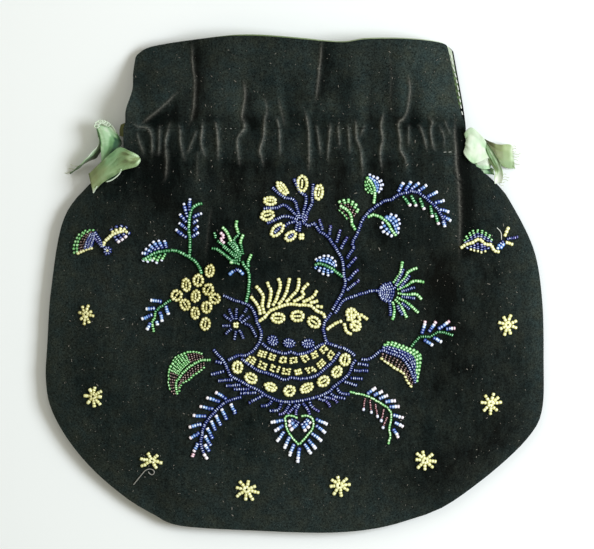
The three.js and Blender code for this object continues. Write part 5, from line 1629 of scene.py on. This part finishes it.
def ribbon(name, edge_a, edge_b, spots, crown=0.0, curl=0.0, pleats=()):
    """A ribbon between two edges given on the chart with heights; pleats are place, height and width."""
    a, b = (flowing(chart(edge)) for edge in (edge_a, edge_b))
    v = np.repeat(np.linspace(0, 1, RIBBON_POINTS)[None, :], len(a), 0)
    middle = mix(a[:, None, :], b[:, None, :], v[..., None])
    run_at = measured((a + b) / 2)
    u = np.repeat((run_at / run_at[-1])[:, None], RIBBON_POINTS, 1)
    rise = crown * np.sin(np.pi * v) + curl * np.abs(2 * v - 1) ** 6
    for place, height, width in pleats:
        aside = v - place - 0.08 * np.sin(5 * u + 9 * place)
        rise += height * bell(aside, width) * smooth(0, 0.2, u) * (1 - smooth(0.4, 0.75, u))
    rise += 0.12 * np.sin(run_at[:, None] * 1.3 + 4 * v) * (2 * v - 1) ** 2
    normal = np.cross(np.gradient(middle, axis=0), np.gradient(middle, axis=1))
    normal /= np.maximum(np.linalg.norm(normal, axis=2, keepdims=True), 1e-9)
    middle = middle + normal * rise[..., None]
    half = normal * RIBBON_CLOTH / 2
    flat = np.stack((u * run_at[-1], v * RIBBON_WIDTH), axis=-1)
    made = cloth(f"ribbon_{name}", middle + half, middle - half, ribbon_silk, flat)
    toned(made, u, v, spots)
    if name in SLOTS:
        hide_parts(name)
    return made


# Spots of each bow: shares along and across, painted light and shade, and yellowing
left_upper_loop = ribbon(
    "left_upper_loop",
    [(98, 138, 4.4), (96, 129, 3.6), (95, 125.6, 5.6), (95.8, 127.4, 8.6), (98.7, 135, 10.2),
     (100.6, 146, 10.6), (101.6, 161, 10.4)],
    [(112, 134, 4.4), (113, 128, 3.6), (110.4, 124.6, 5.6), (114.8, 130, 8.6), (121.4, 141, 10.2),
     (120, 147.6, 11.2), (105, 163, 10.8)],
    [
        (0, 0.5, 0.2, 0.2), (0.25, 0.5, 0.84, 0.2), (0.34, 0.1, 0.88, 0.1), (0.34, 0.9, 0.88, 0.1),
        (0.42, 0, 0.1, 0.3), (0.42, 0.1, 0.86, 0.2), (0.42, 0.5, 0.86, 0.05), (0.42, 0.97, 0.88, 0.1),
        (0.5, 0, 0.1, 0.3), (0.5, 0.1, 0.82, 0.1), (0.5, 0.5, 0.82, 0), (0.5, 0.78, 0.74, 0),
        (0.5, 0.97, 0.3, 0), (0.58, 0, 0.1, 0.3), (0.58, 0.1, 0.8, 0.1), (0.58, 0.38, 0.76, 0),
        (0.58, 0.58, 0.5, 0), (0.57, 0.76, 0.16, 0), (0.57, 0.95, 0.04, 0.1), (0.66, 0, 0.1, 0.3),
        (0.66, 0.1, 0.76, 0), (0.66, 0.34, 0.7, 0), (0.66, 0.52, 0.4, 0), (0.66, 0.72, 0.12, 0),
        (0.66, 0.95, 0.03, 0.2), (0.76, 0.05, 0.74, 0.1), (0.76, 0.34, 0.6, 0), (0.76, 0.56, 0.32, 0),
        (0.76, 0.8, 0.1, 0.1), (0.92, 0.1, 0.68, 0), (0.92, 0.6, 0.46, 0), (0.92, 0.95, 0.16, 0.2),
    ],
    crown=0.5,
    pleats=((0.3, 0.35, 0.07), (0.62, -0.3, 0.09)),
)
left_lower_loop = ribbon(
    "left_lower_loop",
    [(134, 157, 14.4), (137, 156.8, 15), (137.4, 155.8, 16), (131.6, 151.8, 16.6), (121, 147.6, 14.8),
     (112.4, 152.8, 13.4), (103, 161, 12.2), (89, 174, 10.2)],
    [(135, 162, 14.4), (139.6, 161.8, 15), (140, 162, 16), (136.8, 166.8, 16.4), (123.4, 170.6, 14.8),
     (116.6, 175, 13.6), (104, 182.4, 12.6), (93.6, 192.6, 11)],
    [
        (0, 0.5, 0.3, 0.8), (0.1, 0.2, 0.84, 0.4), (0.1, 0.8, 0.86, 0.4), (0.15, 0.5, 0.5, 0.9),
        (0.2, 0.1, 0.6, 0.5), (0.2, 0.35, 0.74, 0.6), (0.2, 0.7, 0.35, 0.8), (0.24, 0.55, 0.68, 0.7),
        (0.24, 0.85, 0.6, 0.6), (0.29, 0.25, 0.36, 0.8), (0.29, 0.6, 0.3, 0.8), (0.36, 0.1, 0.5, 0.2),
        (0.36, 0.5, 0.44, 0.5), (0.41, 0.1, 0.62, 0.2), (0.36, 0.9, 0.56, 0.5), (0.5, 0.1, 0.44, 0.1),
        (0.5, 0.5, 0.5, 0.3), (0.5, 0.8, 0.6, 0.5), (0.6, 0.2, 0.48, 0.2), (0.62, 0.7, 0.54, 0.5),
        (0.6, 0.99, 0.4, 0.4), (0.75, 0.1, 0.4, 0.6), (0.75, 0.5, 0.48, 0.8), (0.75, 0.9, 0.5, 0.7),
        (0.9, 0.1, 0.36, 0.9), (0.9, 0.5, 0.46, 1), (0.9, 0.9, 0.5, 0.9), (1, 0.5, 0.44, 1),
        (0.97, 0.97, 0.92, 0.5),
    ],
    crown=0.6,
    curl=0.5,
    pleats=((0.22, 0.45, 0.05), (0.42, -0.5, 0.06), (0.66, 0.5, 0.06), (0.86, -0.4, 0.05)),
)
left_tail = ribbon(
    "left_tail",
    [(98.2, 137, 8.2), (98.8, 144, 9), (92, 152, 9.2), (85, 159.6, 8.4), (77.4, 167, 5.2), (69, 173, 1.6)],
    [(100.6, 141, 5.4), (101, 149.6, 4), (95, 158, 2.8), (86.6, 161.4, 1.6), (77.9, 168, 0.8),
     (69.3, 173.6, 0.5)],
    [
        (0, 0.1, 0.84, 0.1), (0, 0.8, 0.5, 0.1), (0.2, 0.04, 0.9, 0.1), (0.2, 0.3, 0.8, 0.1),
        (0.22, 0.55, 0.3, 0.4), (0.22, 0.9, 0.05, 0.9), (0.4, 0.04, 0.9, 0.1), (0.4, 0.26, 0.72, 0.2),
        (0.4, 0.5, 0.28, 0.4), (0.4, 0.9, 0.22, 0.8), (0.58, 0.05, 0.8, 0.2), (0.58, 0.4, 0.4, 0.3),
        (0.58, 0.9, 0.3, 0.5), (0.8, 0.1, 0.3, 0.4), (0.8, 0.7, 0.2, 0.4), (1, 0.5, 0.2, 0.5),
    ],
    crown=0.15,
)
# This under layer is kept dark as painted shade beneath the loop
left_under_layer = ribbon(
    "left_under_layer",
    [(124, 166, 13.4), (118, 171, 12.6), (110, 177.6, 12), (103, 181, 11.6)],
    [(121.8, 169.4, 14.6), (118, 175.8, 13.6), (112, 180, 13), (106, 182.2, 12.6)],
    [(0, 0.5, 0.2, 0.2), (0.5, 0.2, 0.06, 0.2), (0.5, 0.7, 0.2, 0.1), (1, 0.5, 0.4, 0.4)],
)
right_upper_loop = ribbon(
    "right_upper_loop",
    [(469, 135, 9), (464.6, 134.6, 11), (466.8, 130, 12.6), (471, 127.8, 13), (477.5, 132, 12.6),
     (484.4, 139.8, 11.2), (487, 144, 8)],
    [(470, 150, 9), (463.4, 151.4, 11), (466.6, 158, 12.6), (473, 163.6, 13), (480, 161.6, 12.4),
     (487.6, 158, 10.4), (490, 160, 8)],
    [
        (0, 0.5, 0.2, 0.2), (0.12, 0.5, 0.6, 0.2), (0.22, 0.1, 0.8, 0.2), (0.24, 0.5, 0.89, 0.2),
        (0.22, 0.9, 0.87, 0.2), (0.42, 0.05, 0.84, 0.2), (0.42, 0.3, 0.90, 0.4), (0.44, 0.42, 0.87, 0.1),
        (0.44, 0.7, 0.90, 0.4), (0.42, 0.97, 0.8, 0.1), (0.62, 0.06, 0.89, 0.2), (0.62, 0.26, 0.85, 0.1),
        (0.62, 0.5, 0.90, 0.3), (0.62, 0.95, 0.88, 0.2), (0.8, 0.1, 0.87, 0.2), (0.8, 0.3, 0.8, 0.1),
        (0.82, 0.6, 0.90, 0.3), (0.86, 0.95, 0.87, 0.6), (1, 0.5, 0.3, 0.4),
    ],
    crown=0.9,
    pleats=((0.3, 0.3, 0.06), (0.55, -0.3, 0.07)),
)
right_second_loop = ribbon(
    "right_second_loop",
    [(474.6, 161, 7.6), (477, 161.4, 8.6), (483, 158.4, 9.2), (488, 158.4, 9.2), (491.6, 164, 8)],
    [(474, 165, 7.4), (476.6, 166.4, 8.2), (481.4, 168.6, 8.6), (486.4, 169, 8.6), (490.4, 168.8, 7.6)],
    [
        (0, 0.5, 0.6, 0.1), (0.3, 0.1, 0.87, 0.4), (0.3, 0.5, 0.93, 0.2), (0.3, 0.92, 0.72, 0),
        (0.6, 0.4, 0.93, 0.2), (0.6, 0.92, 0.78, 0), (0.8, 0.4, 0.91, 0.3), (1, 0.5, 0.5, 0.3),
    ],
    crown=0.4,
)
right_under_loop = ribbon(
    "right_under_loop",
    [(478.6, 168, 6.6), (482, 168.4, 7.2), (486.6, 168, 7.4), (491, 167.4, 7), (494, 169, 6)],
    [(480.4, 171, 6.4), (484, 173, 6.8), (488, 174, 7), (491.4, 174.4, 6.6), (494.6, 175, 5.8)],
    [
        (0, 0.5, 0.76, 0), (0.3, 0.5, 0.84, 0), (0.48, 0.5, 0.7, 0), (0.62, 0.4, 0.1, 0.2),
        (0.7, 0.8, 0.26, 0.1), (0.84, 0.4, 0.4, 0.4), (1, 0.5, 0.6, 0.5),
    ],
    crown=0.3,
)
right_fold = ribbon(
    "right_fold",
    [(485, 139.4, 9.4), (492.2, 150, 11), (498.2, 160.2, 11), (502, 169.6, 10.2), (503.2, 176, 8.8),
     (502, 183, 7.4)],
    [(482.6, 143.4, 7.6), (485.2, 153.4, 8.8), (490.2, 163, 9.2), (495, 171.4, 9), (494.4, 177, 8),
     (494.8, 183.8, 7)],
    [
        (0, 0.5, 0.6, 0.3), (0.1, 0.08, 0.2, 0.8), (0.1, 0.4, 0.8, 0.2), (0.1, 0.9, 0.5, 0.3),
        (0.3, 0.04, 0.2, 0.8), (0.3, 0.16, 0.62, 0.3), (0.3, 0.34, 0.86, 0.2), (0.3, 0.55, 0.54, 0.3),
        (0.3, 0.9, 0.46, 0.3), (0.5, 0.04, 0.22, 0.8), (0.5, 0.18, 0.82, 0.2), (0.5, 0.36, 0.78, 0.2),
        (0.5, 0.56, 0.42, 0.4), (0.5, 0.9, 0.34, 0.7), (0.64, 0.08, 0.7, 0.3), (0.64, 0.3, 0.86, 0.2),
        (0.64, 0.62, 0.4, 0.6), (0.64, 0.9, 0.4, 0.7), (0.78, 0.1, 0.8, 0.6), (0.78, 0.5, 0.9, 0.4),
        (0.78, 0.9, 0.86, 0.6), (0.9, 0.2, 0.94, 0.6), (0.9, 0.7, 1, 0.4), (1, 0.5, 0.94, 0.7),
    ],
    crown=0.5,
    pleats=((0.3, 0.4, 0.08), (0.6, -0.4, 0.08)),
)
right_tail = ribbon(
    "right_tail",
    [(484.6, 138.9, 7.6), (493, 142.7, 6.6), (499, 144.3, 5.2), (509.4, 143.9, 3.2), (513.8, 147, 2.2)],
    [(493, 152, 6.4), (499, 161.6, 5.6), (502.6, 166, 4.4), (509, 168, 1.8), (515.4, 168, 1)],
    [
        (0, 0.1, 0.16, 1), (0, 0.6, 0.24, 1), (0.25, 0.05, 0.24, 1), (0.25, 0.5, 0.34, 1),
        (0.25, 0.95, 0.32, 0.8), (0.5, 0.05, 0.46, 1), (0.5, 0.45, 0.42, 1), (0.5, 0.9, 0.46, 0.7),
        (0.75, 0.05, 0.68, 0.9), (0.75, 0.5, 0.56, 0.8), (0.75, 0.9, 0.52, 0.6), (1, 0.1, 0.94, 0.7),
        (1, 0.5, 0.84, 0.6), (1, 0.9, 0.64, 0.6),
    ],
    crown=0.5,
    curl=-0.3,
    pleats=((0.35, 0.3, 0.08), (0.7, -0.3, 0.09)),
)


def drawstring(name, panel, face, outward):
    """The ribbon inside the casing, between velvet and lining; it bunches up where it comes out."""
    middle = (NECK_Y + CASING_Y) / 2
    left, right = panel.sides(np.array([middle]))
    x = np.linspace(left[0] - DRAWSTRING_OUT, right[0] + DRAWSTRING_OUT, 120)
    v = np.linspace(-0.5, 0.5, 13)
    gx, gv = np.meshgrid(x, v)
    inside = np.minimum(gx - left[0], right[0] - gx)
    bunched = 1 - smooth(-1, BUNCH_RUN, inside)
    gy = mix(middle, NECK_Y + 1.6, bunched) + gv * RIBBON_WIDTH * mix(1, 0.3, bunched)
    held = np.clip(gx, left[0], right[0])
    z = face(held, gy, False) - outward * (CLEARANCE + RIBBON_CLOTH / 2)
    z = z + 0.25 * bunched * np.sin(gv * 19)
    made = cloth(
        f"ribbon_{name}", stack(gx, gy, z + RIBBON_CLOTH / 2), stack(gx, gy, z - RIBBON_CLOTH / 2),
        ribbon_silk, np.stack((gx, gv * RIBBON_WIDTH), axis=-1),
    )
    plain(made)
    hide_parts(name)
    return made


front_drawstring = drawstring("front_drawstring", FRONT, front_height, 1)
back_drawstring = drawstring("back_drawstring", BACK, back_height, -1)


def knot(name):
    """A tied ribbon: a ball drawn out to the size of the knot, pleated round its waist."""
    low, high = (np.array(corner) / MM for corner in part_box(name))
    points, faces = form(make_ball)
    angle = np.arctan2(points[:, 1], points[:, 0])
    pleat = 1 + 0.07 * np.cos(7 * angle + 5 * points[:, 2]) * (1 - (2 * points[:, 2]) ** 2)
    waist = 1 - 0.16 * bell(points[:, 1], 0.12)
    points = points * (pleat * waist)[:, None] * (high - low) + (low + high) / 2
    made = piece(f"ribbon_{name}", points, faces, [ribbon_silk])
    lay_flat(made, points[:, :2])
    plain(made)
    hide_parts(name)
    return made


left_knot = knot("left_knot")
right_knot = knot("right_knot")

# Picots, woven edges made pale as a painted highlight, and frayed ends of the bows, on the chart with heights
PICOT_LEAN = (-0.1, 0.35, 1.0)
PICOT_SIZE = (2.3, 2.3, 3.2)
EDGE_THICKNESS = 0.55
FRAY_THICKNESS = 0.26
PICOTS = [
    (96.6, 126.4, 9.6), (97.6, 123.4, 9.2), (100, 121.8, 8.8), (102.8, 121.8, 8.8), (105.4, 123, 9),
    (107.8, 124.6, 9.2),
]
picots = copies(
    "ribbon_picots", PICOT, chart(PICOTS), np.tile(PICOT_LEAN, (len(PICOTS), 1)),
    np.tile(PICOT_SIZE, (len(PICOTS), 1)), [edge_thread],
)
EDGES = {
    "edge_upper": [(106.6, 122, 7.6), (109.8, 123.6, 8), (113.6, 128, 8.9), (116, 132, 9.8)],
    "edge_lower": [(107, 182, 13), (112, 180.2, 13.3), (117.6, 176.2, 13.9), (120.6, 172.6, 14.5),
                   (121.6, 169.6, 15.2)],
    "edge_tip": [(93.4, 193, 11.2), (95.4, 189.6, 11.8), (97.4, 186.4, 12.4)],
    "fray_1": [(79, 165.6, 4.6), (76, 166, 4), (72, 165.4, 3), (70, 163.8, 2)],
    "fray_2": [(76, 168.4, 3.4), (73, 169.4, 2.6), (70.6, 168, 1.8), (68, 168.6, 0.8)],
    "fray_4": [(513, 149, 2.6), (515.6, 148.2, 2.4), (517.4, 148.8, 2)],
    "fray_5": [(514, 153, 2.4), (518, 154.4, 2), (521.4, 152.6, 1.4)],
    "fray_6": [(514.6, 159, 2), (516.8, 159.2, 1.8), (518.4, 160.4, 1.4)],
    "fray_7": [(502, 178, 8.2), (505, 176.8, 7.6), (509.6, 177.8, 6.4)],
    "fray_8": [(500.6, 182, 7.6), (503, 182.6, 7.2), (505.2, 181.6, 6.7)],
    "fray_9": [(512.4, 146, 2.8), (515.2, 145.6, 2.6), (516.2, 146.6, 2.3)],
    "fray_10": [(513.2, 151, 2.5), (515, 151.8, 2.3), (516.6, 151.2, 2)],
    "fray_11": [(513.8, 156, 2.2), (516.2, 156.9, 1.9), (519.8, 156.2, 1.3)],
    "fray_12": [(514.2, 161.6, 1.9), (516.4, 163.6, 1.6), (520.4, 164, 0.9)],
    "fray_13": [(514, 165, 1.8), (515.4, 167, 1.5), (515.6, 168.8, 1.1)],
    "fray_14": [(501.4, 175.4, 8.2), (504, 174, 7.8), (506.4, 174.2, 7.3)],
    "fray_15": [(501.2, 180, 7.9), (505.8, 179.4, 7), (508.6, 180.8, 6.2)],
    "fray_16": [(499.4, 183.4, 7.4), (500.8, 185, 7), (503.6, 185.6, 6.3)],
    "fray_3": [(72, 171.4, 1.6), (68.4, 171.6, 1), (66, 173, 0.5), (64, 172.4, 0.3)],
}
for edge_name, edge_points in EDGES.items():
    frayed = "fray" in edge_name
    edge_look = (FRAY_THICKNESS, frayed_thread) if frayed else (EDGE_THICKNESS, edge_thread)
    thread(f"ribbon_{edge_name}", flowing(chart(edge_points), 8), *edge_look)


# Beads
for motif_name, motif_strands in MOTIFS.items():
    bead_motif(motif_name, motif_strands)


# Threads
def on_velvet(points, lift):
    """Chart points set at a height above the velvet front."""
    flat = flowing(chart(points), 8)
    return np.column_stack((flat, RELIEF.at(flat[:, 0], flat[:, 1]) + lift))


def sewn(name, line, pitch, length, thickness, finish, slant=0.0, chance=1.0):
    """Stitches of one length along a line of points."""
    total = measured(line)[-1]
    count = int(total / pitch)
    share = (np.arange(count) + 0.5) / count
    kept = share[rng.random(count) < chance]
    step = along(line, clamp(kept + 0.004)) - along(line, clamp(kept - 0.004))
    side = np.column_stack((-step[:, 1], step[:, 0], np.zeros(len(kept))))
    across = np.full(len(kept), thickness)
    sizes = np.column_stack((across, across, length * rng.uniform(0.8, 1.15, len(kept))))
    return copies(name, STITCH, along(line, kept), step + slant * side, sizes, [finish])


# Rows of casing stitches: where they start and end across the chart, and how far down at both ends
ROW_START = 126
ROW_MIDDLE = 294
ROW_END = 463
CASING_ROWS = {
    "casing_stitches_upper": (128.6, 128.2),
    "casing_stitches_lower": (156.2, 155.6),
}
STITCH_LIFT = 0.02
for row_name, (row_left, row_right) in CASING_ROWS.items():
    course = [(ROW_START, row_left), (ROW_MIDDLE, (row_left + row_right) / 2), (ROW_END, row_right)]
    line = along(on_velvet(course, STITCH_LIFT), np.linspace(0, 1, 240))
    line[:, 2] = RELIEF.at(line[:, 0], line[:, 1]) + STITCH_LIFT
    casing_row = sewn(row_name, line, pitch=3.1, length=1.9, thickness=0.34, finish=dark_thread)

# Light stitches: place on the chart, thickness and length
WHITE_STITCHES = [
    (214, 129, 0.1, 0.7), (220.5, 129.2, 0.12, 0.9), (226, 129, 0.09, 0.7), (231, 128.8, 0.12, 0.8),
    (236, 128.9, 0.09, 0.7), (262, 129, 0.1, 0.8), (343, 128.6, 0.1, 0.8), (350, 128.5, 0.09, 0.7),
    (372, 128.4, 0.09, 0.7), (444.6, 152.3, 0.2, 1.2), (449.6, 152.2, 0.2, 1.3),
]
white_at = chart([stitch[:2] for stitch in WHITE_STITCHES])
white_at = np.column_stack((white_at, RELIEF.at(white_at[:, 0], white_at[:, 1]) + 0.12))
casing_stitches_white = copies(
    "casing_stitches_white", STITCH, white_at, np.tile((1.0, 0.08, 0), (len(white_at), 1)),
    [(thick, thick, length) for *_, thick, length in WHITE_STITCHES], [white_thread],
)
# White stitches whipped over the lining's edge at the right slit
SLIT_COURSE = [(450.6, 53, 0), (453.7, 68, 0), (456.6, 80, 0), (460.4, 102, 0), (462.8, 116, 0)]
SLIT_LIFT = 1.6
whip_line = flowing(chart(SLIT_COURSE), 12)
whip_line[:, 2] = back_height(whip_line[:, 0], whip_line[:, 1], False) + SLIT_LIFT
slit_stitches = sewn(
    "slit_stitches", whip_line, pitch=2.8, length=2.15, thickness=0.62, finish=white_thread, slant=0.12
)
# A loose thread end at the lower left, and a bare thread beside the right insect
LOOSE_COURSE = [
    (133.6, 484.5), (138.1, 478.9), (142.2, 473.9), (145.4, 470.3), (149.4, 468.6), (153, 469.4),
    (154.6, 471.6), (153.6, 473.7), (151.7, 474.4), (149.6, 473), (148.6, 471.4),
]
BARE_COURSE = [(496.6, 227.6), (500.7, 232.7), (501.2, 239.8)]
loose_thread = thread("loose_thread", on_velvet(LOOSE_COURSE, 0.35), 0.44, grey_thread)
bare_thread = thread("bare_thread", on_velvet(BARE_COURSE, 0.4), 0.36, white_thread)


def make_lint(count):
    """Fibres and dust caught in the pile."""
    x = rng.uniform(-105, 105, count * 2)
    y = rng.uniform(-105, 108, count * 2)
    inside = FRONT.fullness(x, y) > 0.15
    inside &= y < np.interp(x, FRONT.mouth[:, 0], FRONT.mouth[:, 1]) - 2
    x, y = x[inside][:count], y[inside][:count]
    turn = rng.uniform(0, 2 * np.pi, len(x))
    thick = rng.gamma(2.4, 0.052, len(x)) + 0.06
    length = thick * rng.uniform(1, 3.5, len(x))
    return copies(
        "lint", STITCH, np.column_stack((x, y, RELIEF.at(x, y) + 0.08)),
        np.column_stack((np.cos(turn), np.sin(turn), rng.normal(0, 0.1, len(x)))),
        np.column_stack((thick, thick, length)), [lint_thread],
    )


LINT_COUNT = 1500
lint = make_lint(LINT_COUNT)


# Room: a pale table, a window at the right, a weaker light from a wall and light from all round
def make_room():
    f = Finish("table_paper", Roughness=0.9)
    place = f.place()
    across = f.node("ShaderNodeSeparateXYZ", {}, {0: place}, 0)
    upward = f.node("ShaderNodeSeparateXYZ", {}, {0: place}, 1)
    # Painted shade: the table's colour darkens toward the lower left, where less light falls
    share = 0.55 + 1.6 * across + 0.9 * upward + 0.2 * (f.noise(place, 5, 2) - 0.5)
    f.shade(Base_Color=f.ramp(share, (0.0, (0.79, 0.815, 0.815)), (1.0, (0.91, 0.92, 0.915))))
    bpy.ops.object.select_all(action="DESELECT")
    bpy.ops.mesh.primitive_plane_add(size=8)
    floor = bpy.context.object
    floor.name = "table"
    floor.data.materials.append(f.material)
    world = bpy.data.worlds.new("room")
    bpy.context.scene.world = world
    world.use_nodes = True
    sky = world.node_tree.nodes["Background"]
    sky.inputs["Color"].default_value = (1.0, 0.96, 0.79, 1)
    sky.inputs["Strength"].default_value = 0.43
    for name, energy, size, where, colour in (
        ("window", 16.5, 0.6, (0.88, 0.06, 0.86), (0.88, 0.94, 1)),
        ("wall", 5, 1.4, (-0.5, 1.0, 1.3), (0.94, 0.98, 1)),
    ):
        data = bpy.data.lights.new(name, "AREA")
        data.energy = energy
        data.size = size
        data.color = colour
        light = bpy.data.objects.new(name, data)
        bpy.context.scene.collection.objects.link(light)
        light.location = where
        light.rotation_euler = (-Vector(where)).to_track_quat("-Z", "Y").to_euler()
    bpy.context.scene.view_settings.view_transform = "Standard"


make_room()
